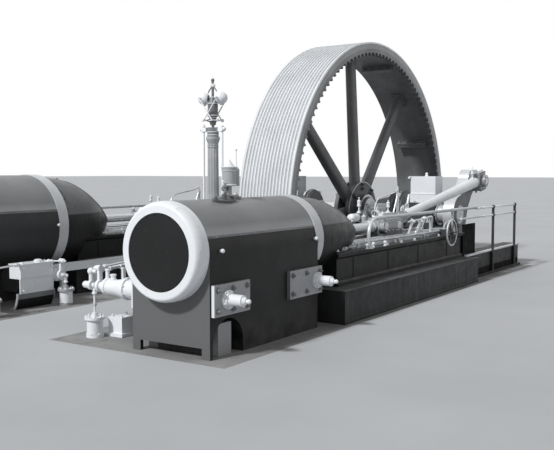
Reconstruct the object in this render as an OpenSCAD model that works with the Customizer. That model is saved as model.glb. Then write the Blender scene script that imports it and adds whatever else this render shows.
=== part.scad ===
// Horizontal cross-compound mill engine with a rope flywheel between its two sides.
// X runs from the cylinders to the crank, Y from the near side to the far side, Z up.
// The origin lies below the crankshaft on the near engine's centre line, at the foundations' base.

/* [Layout] */
// Distance between the centre lines of the two engine sides
engine_spacing = 4000; // [3900:50:4600]
// Height of the cylinder and crankshaft axis above the paving
axis_h = 910; // [880:10:1000]
// Clear height between the flywheel and the floor of its pit
pit_clear = 100; // [60:10:400]
// Distance from the crankshaft to the front end of the cylinders
cyl_front_x = 5340; // [5320:10:5600]

/* [Working motion] */
// Stroke of both pistons
stroke = 1524; // [1400:2:1560]
// Length of the connecting rods between their pins
rod_len = 3600; // [3560:10:3640]
// Angle of the near crank above the level at rest
crank_angle = 45; // [20:1:60]
// Angle from the near crank to the far crank
crank_lag = -90; // [-100:1:-80]

/* [Cylinders] */
// Length of a lagged cylinder with its rear ring
cyl_len = 2050; // [2000:10:2200]
// Radius of the high pressure cylinder's lagging
hp_lag_r = 440; // [420:5:480]
// Radius of the low pressure cylinder's lagging
lp_lag_r = 645; // [560:5:680]
// Length of the domed ring round the rear cover
ring_len = 150; // [100:5:160]
// Width of the domed ring, seen from the rear
ring_w = 98; // [60:2:140]
// Depth at which the rear cover lies inside its ring
cover_inset = 6; // [4:1:40]
// Width of the ring's flat face, before it rounds
ring_face_w = 56; // [20:2:60]
// Width of the polished band at the front end
band_w = 150; // [80:5:200]
// Thickness of the polished band
band_t = 10; // [4:1:20]
// Distance that the band runs down below the axis
band_drop = 220; // [100:10:270]
// Distance that the far band runs down below the axis
lp_band_drop = 450; // [300:10:500]
// Length of the round front end, where the straight sides stop
round_end = 110; // [60:5:140]
// Width of the low pressure cylinder's foot
lp_foot_w = 700; // [600:10:900]
// Diameter of the flat boss on top of a cylinder
boss_d = 230; // [180:10:260]

/* [Valve gear] */
// Length of a rear valve plate along the cylinder
rear_plate_len = 516; // [460:2:600]
// Length of a front valve plate along the cylinder
front_plate_len = 608; // [500:2:640]
// Height of a valve plate
plate_h = 276; // [230:2:290]
// Thickness of a valve plate
plate_t = 36; // [25:1:50]
// Distance from the rear valve's centre to the plate's rear end
plate_rear_lap = 172; // [120:2:180]
// Distance from the front valve's centre to the plate's front end
plate_front_lap = 113; // [100:2:140]
// Depth of the valve centres below the axis
valve_drop = 406; // [380:2:430]
// Distance from the cylinder's rear end to the rear valves
valve_rear = 345; // [340:5:380]
// Distance between the rear and the front valves
valve_pitch = 1510; // [1450:10:1530]
// Largest diameter of a valve bonnet
bonnet_d = 165; // [140:5:190]
// Length of an outer valve bonnet
bonnet_len = 252; // [220:2:300]
// Length of an inner high pressure bonnet, up to its lever
hp_bonnet_len = 590; // [520:10:620]
// Length of an inner low pressure bonnet, up to its lever
lp_bonnet_len = 430; // [360:10:460]
// Diameter of an inner valve bonnet's barrel
barrel_d = 150; // [120:2:170]
// Height of a valve lever above its valve
lever_h = 170; // [140:5:200]
// Length of the low pressure valve chests
chest_len = 540; // [500:10:600]
// Height of the low pressure valve chests
chest_h = 336; // [300:4:360]
// Depth of the middle of the low pressure chests below the axis
chest_drop = 602; // [580:2:640]
// Distance of a chest's outer face from the low pressure cylinder's centre line
chest_out = 700; // [680:5:740]
// Diameter of a dashpot's flange
dashpot_d = 200; // [160:5:240]
// Height of a dashpot
dashpot_h = 200; // [160:5:240]

/* [Bed and plinth] */
// Width of the bed
bed_w = 800; // [760:10:860]
// Height of the bed's top below the axis
bed_drop = 200; // [190:5:240]
// Height of the plinth above the paving
plinth_h = 355; // [300:5:400]
// Width of the plinth
plinth_w = 1240; // [1100:10:1300]
// Gap between the cylinder and the bed
bed_gap = 400; // [300:10:500]
// Length by which the plinth runs on behind the bed
plinth_lap = 250; // [100:10:280]
// Distance from the crankshaft to the crank end of the bed
bed_end_x = 1140; // [1120:10:1200]
// Width of the slot in which the connecting rod swings
slot_w = 210; // [200:2:220]

/* [Trunk and slides] */
// Length of the trunk between the cylinder and the slides
trunk_len = 1080; // [1000:10:1150]
// Radius of the trunk's mouth
mouth_r = 250; // [246:2:280]
// Length of the sloping cut at the trunk's top
trunk_cut = 700; // [500:10:760]
// Wall thickness of the trunk
trunk_t = 38; // [25:1:40]
// Height of the slide faces below the axis
slide_drop = 120; // [115:1:125]
// Width of one slide bar
slide_bar_w = 65; // [50:1:70]
// Width of the raised base under a slide bar
slide_base_w = 150; // [120:5:180]
// Height of the raised base under a slide bar
slide_base_h = 45; // [30:1:60]
// Distance from the crankshaft to the crank end of the slide bars
slide_end_x = 1460; // [1300:10:1600]
// Length of a crosshead slipper
slipper_len = 440; // [400:10:480]
// Diameter of the piston rods
piston_rod_d = 110; // [90:2:120]

/* [Rods and cranks] */
// Diameter of the crosshead pins
gudgeon_d = 100; // [80:2:104]
// Diameter of the crankpins
crankpin_d = 150; // [120:2:160]
// Diameter of a connecting rod behind its fork
rod_small_d = 110; // [90:2:120]
// Distance from the crosshead pin to the end of the rod's fork
fork_len = 560; // [500:10:600]
// Diameter of a connecting rod at the crank end
rod_big_d = 172; // [140:2:180]
// Width of the strap at the big end
strap_w = 180; // [160:2:200]
// Height of the strap at the big end
strap_h = 290; // [260:5:330]
// Radius of the cap on a crankpin's outer end
pin_cap_r = 98; // [85:1:110]
// Thickness of a crank web
web_t = 180; // [150:5:200]
// Radius of a crank's boss
boss_r = 300; // [260:5:320]
// Radius of a crank's pin end
pin_end_r = 185; // [150:5:200]
// Half width of a crank web at its waist
waist_half = 152; // [120:2:160]

/* [Crankshaft and bearings] */
// Diameter of the crankshaft in its bearings
shaft_d = 300; // [260:5:330]
// Diameter of the crankshaft in the flywheel's hub
hub_seat_d = 380; // [340:5:420]
// Length of a main bearing
bearing_len = 440; // [400:10:480]
// Distance from a crank web to its main bearing
bearing_gap = 185; // [120:5:200]
// Height of a bearing cap above the axis
cap_h = 185; // [175:1:220]
// Length of the bearing guard along the engine
guard_box_l = 305; // [260:5:360]
// Width of the bearing guard along the shaft
guard_box_w = 432; // [400:4:440]
// Height of the bearing guard
guard_box_h = 430; // [300:5:480]
// Height of the bearing guard's lower, wider part
guard_skirt_h = 145; // [100:5:180]
// Radius of the eccentrics
eccentric_r = 300; // [260:5:330]
// Throw of the eccentrics
eccentric_throw = 80; // [50:2:90]

/* [Flywheel] */
// Diameter of the flywheel
wheel_d = 5720; // [5400:20:5800]
// Width of the flywheel's rim
wheel_w = 900; // [800:10:1000]
// Number of rope grooves
groove_count = 15; // [10:1:16]
// Depth of a rope groove
groove_depth = 42; // [30:1:50]
// Thickness of the rim below the grooves
rim_t = 110; // [80:5:140]
// Number of arms
arm_count = 8; // [6:1:8]
// Angle of the first arm above the level at rest
arm_angle = 5; // [0:1:44]
// Depth of an arm at the hub
arm_hub_w = 235; // [200:5:250]
// Depth of an arm at the rim
arm_rim_w = 180; // [150:5:200]
// Thickness of an arm along the shaft
arm_t = 150; // [120:5:180]
// Radius of the hub's flanges
hub_r = 520; // [480:10:560]
// Number of barring teeth
tooth_count = 128; // [96:1:144]
// Depth of a barring tooth
tooth_depth = 45; // [30:1:60]
// Width of the barring teeth along the shaft
tooth_w = 90; // [60:5:120]

/* [Governor and oil pot] */
// Distance from the crankshaft to the governor column
gov_x = 5200; // [5150:10:5300]
// Distance of the governor column from the near engine's centre line
gov_y = 1100; // [1050:10:1200]
// Height of the governor column above the paving
gov_col_h = 2000; // [1800:10:2200]
// Diameter of the governor column at its foot
gov_col_d = 156; // [136:2:180]
// Diameter of the governor column at its top
gov_top_d = 120; // [100:2:130]
// Number of flutes on the governor column
flute_count = 12; // [8:1:16]
// Height of the governor's spindle above its column
gov_head_h = 640; // [600:10:700]
// Diameter of the governor balls
ball_d = 142; // [120:2:160]
// Diameter of the oil pot
pot_d = 132; // [110:2:160]
// Distance from the crankshaft to the oil pot on the near cylinder
pot_x = 6370; // [6200:10:6500]
// Height of the oil pot's body
pot_h = 150; // [120:5:180]

/* [Rails and handwheels] */
// Diameter of the guard and handrail tubes
rail_d = 42; // [30:1:50]
// Height of the handrails above the bed
handrail_h = 345; // [300:5:400]
// Radius of the bend at the rear end of a handrail
handrail_bend_r = 200; // [120:10:240]
// Distance from the trunk's mouth to the foot of the handrail
handrail_gap = 95; // [60:5:200]
// Distance from the crankshaft to the crank end of the handrails
handrail_end_x = 520; // [300:10:900]
// Distance from the bed's end to the handrail's stanchion
stanchion_lap = 400; // [200:10:500]
// Height of the crank guards above the paving
guard_h = 1050; // [1000:10:1150]
// Distance between the two posts of a crank guard
guard_span = 1110; // [900:10:1200]
// Length by which the guard's rails run back past the first post
guard_lap = 420; // [100:10:450]
// Distance between the two rails of a crank guard
guard_rail_drop = 130; // [100:10:400]
// Height of the crank platforms above the paving
platform_h = 370; // [300:5:380]
// Diameter of the handwheels
handwheel_d = 380; // [300:10:400]
// Distance from the crankshaft to the stop valves
valve_stand_x = 1790; // [1700:10:1900]

/* [Hidden] */
seat_gap = 0.3;
pin_gap = 0.8;
web_gap = 5;
platform_lap = 30;
rail_lap = 30;

crank_r = stroke / 2;
wheel_r = wheel_d / 2;
axis_z = wheel_r + pit_clear;
ground_z = -axis_h;
base_z = -axis_z;

cyl_rear_x = -cyl_front_x - cyl_len;
casing_rear_x = cyl_rear_x + ring_len;
rear_valve_x = cyl_rear_x + valve_rear;
front_valve_x = rear_valve_x + valve_pitch;
valve_z = -valve_drop;
lever_gap = 60;
eye_t = 24;
chest_rear_x = casing_rear_x + 30;
chest_front_x = -cyl_front_x - 280 - chest_len;
boss_top_z = hp_lag_r + 16;

bed_rear_x = -cyl_front_x + bed_gap;
bed_top_z = -bed_drop;
plinth_top_z = ground_z + plinth_h;
plinth_slot_len = 1300;
pit_len = 1130;
pit_wall = 270;
pit_side = slot_w / 2 + 60;
pit_floor_gap = 340;
pit_floor_z = -crank_r - pit_floor_gap;
platform_y = bed_w / 2 + platform_lap;
walk_edge_y = engine_spacing / 2 - wheel_w / 2 - 150;

mouth_x = -cyl_front_x + trunk_len;
slide_out = slot_w / 2 + slide_bar_w;
slide_base_out = slot_w / 2 + slide_base_w;
slide_rear_x = -rod_len - crank_r - slipper_len / 2 - 40;
slide_z = -slide_drop;
slide_base_z = bed_top_z + slide_base_h;

far_angle = crank_angle + crank_lag;
web_y = max(strap_w, rod_big_d) / 2 + web_gap;
web_back_y = web_y + web_t;
bearing_y = web_back_y + bearing_gap;
bearing_end_y = bearing_y + bearing_len;
pedestal_y = web_back_y + 60;
pedestal_end_y = bearing_end_y + 80;
pedestal_half = 480;

rim_bottom_r = wheel_r - groove_depth - rim_t;
groove_land = 22;
groove_pitch = (wheel_w - 2 * groove_land) / groove_count;
hub_half = 235;
collar_end = hub_half + 50;
stem_out = 60;
stem_z = bed_top_z + 40;
hub_flange_t = 70;
arm_z = ground_z + gov_col_h + 60;
boss_hub_r = 300;

head_half = 45;
head_top = 100;
head_rear = -330;
head_front = 85;
cheek_in = slot_w / 2;
cheek_r = 88;
cheek_rear = -240;
cheek_front = 140;
fork_in = 48;
fork_out = 94;
eye_r = 80;
arm_half = 56;
rod_seat = 140;
strap_rear = 150;
strap_front = 130;
bore_floor_x = casing_rear_x + 120;

// Places one engine side: its crankshaft axis is at the origin, with the flywheel towards +Y
module near() {
  translate([0, 0, axis_z]) children();
}

module far() {
  translate([0, engine_spacing, axis_z]) mirror([0, 1, 0]) children();
}

// Places the middle of the crankshaft, where the flywheel turns
module wheel_centre() {
  translate([0, engine_spacing / 2, axis_z]) children();
}

module both() {
  near() children();
  far() children();
}

// Lays a shape drawn along +Z down along +X or along +Y
module along_x() {
  rotate([0, 90, 0]) children();
}

module along_y() {
  rotate([-90, 0, 0]) children();
}

// Box given by its lowest and highest corners
module block(low, high) {
  translate(low) cube(high - low);
}

// Extrudes a shape drawn in the Y-Z plane from one X to another
module section_x(from, to) {
  translate([from, 0, 0]) rotate([90, 0, 90]) linear_extrude(to - from) children();
}

// Extrudes a shape drawn in the X-Z plane from one Y to another
module section_y(from, to) {
  translate([0, to, 0]) rotate([90, 0, 0]) linear_extrude(to - from) children();
}

// Round bar between two points
module bar(from, to, d) {
  run = to - from;
  translate(from)
    rotate([0, acos(run[2] / norm(run)), atan2(run[1], run[0])])
      cylinder(d = d, h = norm(run), $fn = 24);
}

module foundation() {
  half = max(plinth_w / 2, lp_lag_r) + 60;
  color("dimgray") difference() {
    block([cyl_rear_x, -half, base_z], [pit_len + pit_wall, walk_edge_y, ground_z]);
    block([-bed_end_x, -pit_side, pit_floor_z], [pit_len, pedestal_y - 20, ground_z + 1]);
  }
}

module foundations() {
  both() foundation();
}

module plinth() {
  slot_floor = ground_z + 50;
  color("#3a3c3d") difference() {
    block([bed_rear_x - plinth_lap, -plinth_w / 2, ground_z], [-bed_end_x, plinth_w / 2, plinth_top_z]);
    block([-bed_end_x - plinth_slot_len, -slot_w / 2, slot_floor],
          [-bed_end_x + 1, slot_w / 2, plinth_top_z + 1]);
  }
}

module plinths() {
  both() plinth();
}

// Box bed with a lipped top and bottom, slotted for the connecting rod
module bed() {
  half = bed_w / 2;
  lip = 22;
  lip_h = 38;
  slot_lap = 380;
  slot_start = -rod_len - slot_lap;
  color("#2b2d2e") difference() {
    section_x(bed_rear_x, -bed_end_x) polygon([
      [-half, plinth_top_z], [half, plinth_top_z], [half, plinth_top_z + lip_h],
      [half - lip, plinth_top_z + lip_h + lip], [half - lip, bed_top_z - lip_h - lip],
      [half, bed_top_z - lip_h], [half, bed_top_z], [-half, bed_top_z], [-half, bed_top_z - lip_h],
      [-half + lip, bed_top_z - lip_h - lip], [-half + lip, plinth_top_z + lip_h + lip],
      [-half, plinth_top_z + lip_h]
    ]);
    block([slot_start, -slot_w / 2, plinth_top_z - 1], [-bed_end_x + 1, slot_w / 2, bed_top_z + 1]);
  }
}

module beds() {
  both() bed();
}

// Outline of a lagged casing: a round top on straight sides of the given half width
module casing_outline(r, half, foot_z) {
  circle(r = r, $fn = 96);
  translate([-half, foot_z]) square([2 * half, -foot_z]);
}

// Bore for the piston rod and the flat boss on top, which both cylinders have
module casing_body(lag_r) {
  bore_d = piston_rod_d + 30;
  difference() {
    union() {
      children();
      translate([-pot_x, 0, 0]) cylinder(d = boss_d, h = lag_r + 16, $fn = 64);
    }
    translate([bore_floor_x, 0, 0]) along_x()
      cylinder(d = bore_d, h = -cyl_front_x - bore_floor_x + 1, $fn = 48);
  }
}

// High pressure casing: straight sides with a foot arch each, and a recess under the rear end
module near_cylinder_casing() {
  arch_w = 440;
  arch_h = 330;
  arch_x = casing_rear_x + 40 + arch_w / 2;
  arch_depth = 180;
  foot_size = [190, arch_depth - 40, 285];
  recess_w = 1.6 * hp_lag_r;
  recess_depth = 130;
  recess_h = 95;
  color("#2c2e2f") near() {
    casing_body(hp_lag_r) difference() {
      union() {
        section_x(casing_rear_x, -cyl_front_x) circle(r = hp_lag_r, $fn = 96);
        section_x(casing_rear_x, -cyl_front_x - round_end) casing_outline(hp_lag_r, hp_lag_r, ground_z);
      }
      for (side = [-1, 1]) translate([arch_x, side * (hp_lag_r - arch_depth / 2 + 1), 0])
        section_y(-arch_depth / 2 - 1, arch_depth / 2 + 1) {
          translate([0, ground_z + arch_h - arch_w / 2]) circle(d = arch_w, $fn = 48);
          translate([-arch_w / 2, ground_z - 1]) square([arch_w, arch_h - arch_w / 2 + 1]);
        }
      block([casing_rear_x - 1, -recess_w / 2, ground_z - 1],
            [casing_rear_x + recess_depth, recess_w / 2, ground_z + recess_h]);
    }
    for (side = [-1, 1])
      translate([arch_x, side * (hp_lag_r - arch_depth / 2 - 20), ground_z + foot_size[2] / 2])
      cube(foot_size, center = true);
  }
}

// Low pressure casing: a full round of lagging on a narrower foot
module far_cylinder_casing() {
  color("#2c2e2f") far() casing_body(lp_lag_r)
    section_x(casing_rear_x, -cyl_front_x) casing_outline(lp_lag_r, lp_foot_w / 2, ground_z);
}

// Polished ring with a flat face and a rounded outer edge
module rear_ring(lag_r) {
  dome = 85;
  steps = 12;
  inner_r = lag_r - ring_w;
  round_r = ring_w - ring_face_w;
  color("whitesmoke") translate([cyl_rear_x, 0, 0]) along_x() rotate_extrude($fn = 120)
    polygon(concat(
      [[inner_r, ring_len], [inner_r, 0]],
      [for (i = [0:steps]) let (a = 90 * i / steps)
        [lag_r - round_r + round_r * sin(a), dome - dome * cos(a)]],
      [[lag_r, ring_len]]
    ));
}

module near_rear_ring() {
  near() rear_ring(hp_lag_r);
}

module far_rear_ring() {
  far() rear_ring(lp_lag_r);
}

module rear_cover(lag_r) {
  color("#202223") translate([cyl_rear_x + cover_inset, 0, 0]) along_x()
    cylinder(r = lag_r - ring_w, h = ring_len - cover_inset, $fn = 120);
}

module near_rear_cover() {
  near() rear_cover(hp_lag_r);
}

module far_rear_cover() {
  far() rear_cover(lp_lag_r);
}

// Arch of polished band from one X to another, down to the given level
module band_arch(lag_r, from, to, low_z) {
  outer_r = lag_r + band_t;
  section_x(from, to) difference() {
    circle(r = outer_r, $fn = 96);
    circle(r = lag_r + seat_gap, $fn = 96);
    translate([-outer_r, low_z - 2 * outer_r]) square([2 * outer_r, 2 * outer_r]);
  }
}

// The near band stops at the axis where the casing's straight sides start
module near_front_band() {
  round_x = -cyl_front_x - round_end;
  outer_r = hp_lag_r + band_t;
  color("whitesmoke") near() difference() {
    band_arch(hp_lag_r, -cyl_front_x - band_w, -cyl_front_x, -band_drop);
    block([-cyl_front_x - band_w - 1, -outer_r - 1, -outer_r], [round_x, outer_r + 1, 0]);
  }
}

module far_front_band() {
  color("whitesmoke") far() band_arch(lp_lag_r, -cyl_front_x - band_w, -cyl_front_x, -lp_band_drop);
}

// Bell-shaped trunk with a sloping cut on top and the gland of the piston rod inside
module trunk(lag_r) {
  root_r = lag_r - 22;
  steps = 12;
  gland_len = 240;
  gland_r = 120;
  wall = 45;
  bore_d = piston_rod_d + 2 * seat_gap;
  function bell(t) = mouth_r + (root_r - mouth_r) * (1 - pow(t, 2.2));
  cut_r = bell(1 - trunk_cut / trunk_len);
  color("#252728") difference() {
    translate([-cyl_front_x, 0, 0]) along_x() union() {
      rotate_extrude($fn = 96) polygon(concat(
        [for (i = [0:steps]) let (t = i / steps) [bell(t), trunk_len * t]],
        [for (i = [steps:-1:0]) let (t = i / steps) [bell(t) - trunk_t, trunk_len * t]]
      ));
      cylinder(r = root_r - trunk_t + 1, h = wall, $fn = 96);
      cylinder(r = gland_r, h = wall + gland_len, $fn = 64);
    }
    translate([-cyl_front_x - 1, 0, 0]) along_x() cylinder(d = bore_d, h = wall + gland_len + 2, $fn = 64);
    section_y(-root_r, root_r) polygon([
      [mouth_x - trunk_cut, cut_r], [mouth_x - trunk_cut, root_r + 1], [mouth_x + 1, root_r + 1],
        [mouth_x + 1, 0], [mouth_x, 0]
    ]);
    block([bed_rear_x, -root_r, -root_r], [mouth_x + 1, root_r, bed_top_z]);
    block([bed_rear_x - plinth_lap - seat_gap, -root_r, -root_r],
          [bed_rear_x + 1, root_r, plinth_top_z + seat_gap]);
    block([slide_rear_x - 60, -slide_base_out - seat_gap, bed_top_z - 1],
          [mouth_x + 1, slide_base_out + seat_gap, slide_base_z + seat_gap]);
    block([slide_rear_x - 60, -slide_out - seat_gap, bed_top_z - 1],
          [mouth_x + 1, slide_out + seat_gap, slide_z + seat_gap]);
  }
}

module near_trunk() {
  near() trunk(hp_lag_r);
}

module far_trunk() {
  far() trunk(lp_lag_r);
}

// Two slides beside the slot, each on a wider base
module slide_bars() {
  color("silver") both() for (side = [0, 1]) mirror([0, side, 0]) {
    block([slide_rear_x, slot_w / 2, bed_top_z], [-slide_end_x, slide_base_out, slide_base_z]);
    block([slide_rear_x, slot_w / 2, slide_base_z - 1], [-slide_end_x, slide_out, slide_z]);
  }
}

// Outer valve bonnet drawn along +Z: flange, collar, barrel, neck and ball
module outer_bonnet() {
  ball = 0.26 * bonnet_d;
  flange_t = 24;
  barrel_end = 0.7 * bonnet_len;
  cylinder(d = bonnet_d, h = flange_t, $fn = 48);
  translate([0, 0, flange_t]) cylinder(d = 0.78 * bonnet_d, h = 20, $fn = 48);
  cylinder(d = 0.62 * bonnet_d, h = barrel_end, $fn = 48);
  translate([0, 0, barrel_end])
    cylinder(d1 = 0.5 * bonnet_d, d2 = 0.3 * bonnet_d, h = 0.12 * bonnet_len, $fn = 48);
  cylinder(d = 0.2 * bonnet_d, h = bonnet_len - ball / 2, $fn = 48);
  translate([0, 0, bonnet_len - ball / 2]) sphere(d = ball, $fn = 48);
}

// Inner valve bonnet drawn along +Z: flange, long barrel, nose, and a lever with its ball joint
module inner_bonnet(len) {
  flange_t = 26;
  barrel_end = 0.84 * len;
  arm_t = 30;
  joint_d = 58;
  cylinder(d = 1.25 * barrel_d, h = flange_t, $fn = 48);
  cylinder(d = barrel_d, h = barrel_end, $fn = 48);
  translate([0, 0, barrel_end]) cylinder(d = 0.56 * barrel_d, h = len - barrel_end, $fn = 48);
  translate([0, 0, len - arm_t]) {
    cylinder(d = 0.8 * barrel_d, h = arm_t, $fn = 48);
    cylinder(d = 30, h = arm_t + lever_gap - eye_t / 2, $fn = 24);
    block([-22, -lever_h, 0], [22, 0, arm_t]);
    translate([0, -lever_h, 0]) cylinder(d = 62, h = arm_t, $fn = 32);
    translate([0, -lever_h, arm_t + 20]) sphere(d = joint_d, $fn = 32);
  }
}

// One side's valve plates on the high pressure casing; side is -1 outside, 1 inside
module near_valve_plates(side) {
  rear_x = rear_valve_x - plate_rear_lap;
  front_x = front_valve_x + plate_front_lap - front_plate_len;
  low_y = side > 0 ? hp_lag_r : -hp_lag_r - plate_t;
  low_z = valve_z - plate_h / 2;
  block([rear_x, low_y, low_z], [rear_x + rear_plate_len, low_y + plate_t, low_z + plate_h]);
  block([front_x, low_y, low_z], [front_x + front_plate_len, low_y + plate_t, low_z + plate_h]);
}

module near_outer_valve_bonnets() {
  color("gray") near() {
    near_valve_plates(-1);
    for (x = [rear_valve_x, front_valve_x]) translate([x, -hp_lag_r - plate_t, valve_z])
      rotate([90, 0, 0]) outer_bonnet();
  }
}

module near_inner_valve_bonnets() {
  color("gray") near() {
    near_valve_plates(1);
    for (x = [rear_valve_x, front_valve_x]) translate([x, hp_lag_r + plate_t, valve_z]) along_y()
      inner_bonnet(hp_bonnet_len);
  }
}

// Low pressure valve chests on one side, with a step below and rounded undersides
module far_valve_chests(side) {
  low_z = -chest_drop - chest_h / 2;
  in_y = lp_foot_w / 2;
  for (x = [chest_rear_x, chest_front_x]) mirror([0, side > 0 ? 0 : 1, 0]) difference() {
    section_x(x, x + chest_len) polygon([
      [in_y, low_z], [chest_out - 90, low_z], [chest_out - 30, low_z + 60], [chest_out - 30,
        low_z + 0.3 * chest_h],
      [chest_out, low_z + 0.36 * chest_h], [chest_out, low_z + chest_h], [in_y, low_z + chest_h]
    ]);
    section_x(x - 1, x + chest_len + 1) circle(r = lp_lag_r + seat_gap, $fn = 96);
  }
}

module far_outer_valve_bonnets() {
  color("gray") far() {
    far_valve_chests(-1);
    for (x = [chest_rear_x, chest_front_x])
      translate([x + chest_len / 2, -chest_out, -chest_drop + 0.15 * chest_h])
      rotate([90, 0, 0]) outer_bonnet();
  }
}

module far_inner_valve_bonnets() {
  color("gray") far() {
    far_valve_chests(1);
    for (x = [chest_rear_x, chest_front_x])
      translate([x + chest_len / 2, chest_out, -chest_drop + 0.15 * chest_h])
      along_y() inner_bonnet(lp_bonnet_len);
  }
}

// Dashpot on the paving with its rod up to the given height
module dashpot(top_z) {
  flange_t = 26;
  body_h = dashpot_h - flange_t;
  cylinder(d = 0.84 * dashpot_d, h = 30, $fn = 48);
  cylinder(d = 0.66 * dashpot_d, h = body_h, $fn = 48);
  translate([0, 0, body_h]) cylinder(d = dashpot_d, h = flange_t, $fn = 48);
  translate([0, 0, dashpot_h]) cylinder(d = 60, h = 36, $fn = 32);
  translate([0, 0, dashpot_h]) cylinder(d = 22, h = top_z - dashpot_h, $fn = 24);
  translate([0, -eye_t / 2, top_z]) along_y() cylinder(d = 50, h = eye_t, $fn = 32);
}

module dashpots() {
  near_top = valve_z - ground_z;
  far_top = -chest_drop + 0.15 * chest_h - ground_z;
  color("whitesmoke") {
    near() for (x = [rear_valve_x, front_valve_x])
      translate([x, hp_lag_r + plate_t + hp_bonnet_len + lever_gap, ground_z]) dashpot(near_top);
    far() for (x = [chest_rear_x, chest_front_x])
      translate([x + chest_len / 2, chest_out + lp_bonnet_len + lever_gap, ground_z]) dashpot(far_top);
  }
}

module bearing_pedestals() {
  color("#2b2d2e") both()
    block([-pedestal_half, pedestal_y, ground_z], [pedestal_half, pedestal_end_y, bed_top_z]);
}

// Main bearing with its cap, bored for the crankshaft
module main_bearing() {
  base_half = 330;
  cap_half = 210;
  color("#3a3c3d") difference() {
    union() {
      block([-base_half, bearing_y, bed_top_z], [base_half, bearing_end_y, bed_top_z + 70]);
      block([-cap_half, bearing_y, bed_top_z + 70], [cap_half, bearing_end_y, cap_h]);
    }
    translate([0, bearing_y - 1, 0]) along_y()
      cylinder(d = shaft_d + 2 * seat_gap, h = bearing_len + 2, $fn = 96);
  }
}

module main_bearings() {
  both() main_bearing();
}

// Guard over a main bearing: a lid on a slightly wider skirt, with a knob on top
module bearing_guards() {
  mid_y = (bearing_y + bearing_end_y) / 2;
  skirt_lap = 8;
  half_l = guard_box_l / 2;
  half_w = guard_box_w / 2;
  color("whitesmoke") both() translate([0, mid_y, cap_h]) {
    block([-half_l, -half_w, 0], [half_l, half_w, guard_box_h]);
    block([-half_l - skirt_lap, -half_w - skirt_lap, 0],
          [half_l + skirt_lap, half_w + skirt_lap, guard_skirt_h]);
    translate([0, 0, guard_box_h]) cylinder(d1 = 60, d2 = 30, h = 30, $fn = 32);
    translate([0, 0, guard_box_h + 40]) sphere(d = 46, $fn = 32);
  }
}

// Small valves on the beds' edges, whose stems the handwheels turn
module stop_valves() {
  color("gray") both() translate([-valve_stand_x, 0, bed_top_z])
    block([-50, -bed_w / 2, 0], [50, -bed_w / 2 + 110, 85]);
}

// Handrail that rises from a foot near the trunk and bends to run level past the bed's end
module handrail() {
  y = -bed_w / 2 + rail_lap;
  foot_x = mouth_x + handrail_gap;
  top_z = bed_top_z + handrail_h;
  bend_x = foot_x + handrail_bend_r;
  color("gray") {
    translate([foot_x, y, bed_top_z]) cylinder(d = 2.2 * rail_d, h = 30, $fn = 32);
    translate([foot_x, y, bed_top_z]) cylinder(d = rail_d, h = handrail_h - handrail_bend_r, $fn = 24);
    translate([bend_x, y, top_z - handrail_bend_r]) rotate([90, 0, 0])
      rotate([0, 0, 90])
        rotate_extrude(angle = 90, $fn = 48) translate([handrail_bend_r, 0]) circle(d = rail_d, $fn = 24);
    translate([bend_x, y, top_z]) along_x() cylinder(d = rail_d, h = -handrail_end_x - bend_x, $fn = 24);
    translate([-handrail_end_x, y, top_z]) sphere(d = 1.5 * rail_d, $fn = 32);
    translate([-bed_end_x - stanchion_lap, y, bed_top_z]) cylinder(d = rail_d, h = handrail_h, $fn = 24);
    translate([-bed_end_x - stanchion_lap, y, top_z]) sphere(d = 1.4 * rail_d, $fn = 32);
  }
}

module handrails() {
  both() handrail();
}

module crank_platforms() {
  color("#2b2d2e") both()
    block([-bed_end_x, -platform_y, ground_z], [pit_len + pit_wall, -pit_side, ground_z + platform_h]);
}

// Two posts with two rails beside a crank, joined to the platform's outer face
module crank_guard() {
  y = -platform_y - rail_d / 2;
  posts = [0, guard_span];
  top_z = ground_z + guard_h;
  color("#2b2d2e") {
    for (x = posts) {
      translate([x, y, ground_z]) cylinder(d = rail_d, h = guard_h, $fn = 24);
      translate([x, y, top_z]) sphere(d = 1.5 * rail_d, $fn = 32);
    }
    for (drop = [0, guard_rail_drop])
      translate([-guard_lap, y, top_z - drop]) along_x()
        cylinder(d = 0.7 * rail_d, h = guard_lap + guard_span, $fn = 24);
  }
}

module crank_guards() {
  both() crank_guard();
}

// Fluted column on a stepped foot, with a flared capital
module governor_column() {
  foot_d = 420;
  foot_h = 60;
  step_d = 200;
  step_h = 60;
  capital_z = gov_col_h - 80;
  lean = atan((gov_col_d - gov_top_d) / 2 / gov_col_h);
  color("lightgray") near() translate([-gov_x, gov_y, ground_z]) {
    cylinder(d = foot_d, h = foot_h, $fn = 64);
    translate([0, 0, foot_h]) cylinder(d = step_d, h = step_h, $fn = 64);
    difference() {
      cylinder(d1 = gov_col_d, d2 = gov_top_d, h = gov_col_h, $fn = 64);
      for (i = [0:flute_count - 1]) rotate([0, 0, 360 * i / flute_count])
        translate([gov_col_d / 2 + 3, 0, foot_h + step_h])
        rotate([0, -lean, 0]) cylinder(d = 20, h = capital_z - foot_h - step_h, $fn = 24);
    }
    translate([0, 0, capital_z]) cylinder(d1 = gov_top_d, d2 = 1.32 * gov_top_d, h = 50, $fn = 64);
    translate([0, 0, capital_z + 50]) cylinder(d = 1.32 * gov_top_d, h = 30, $fn = 64);
  }
}

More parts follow.
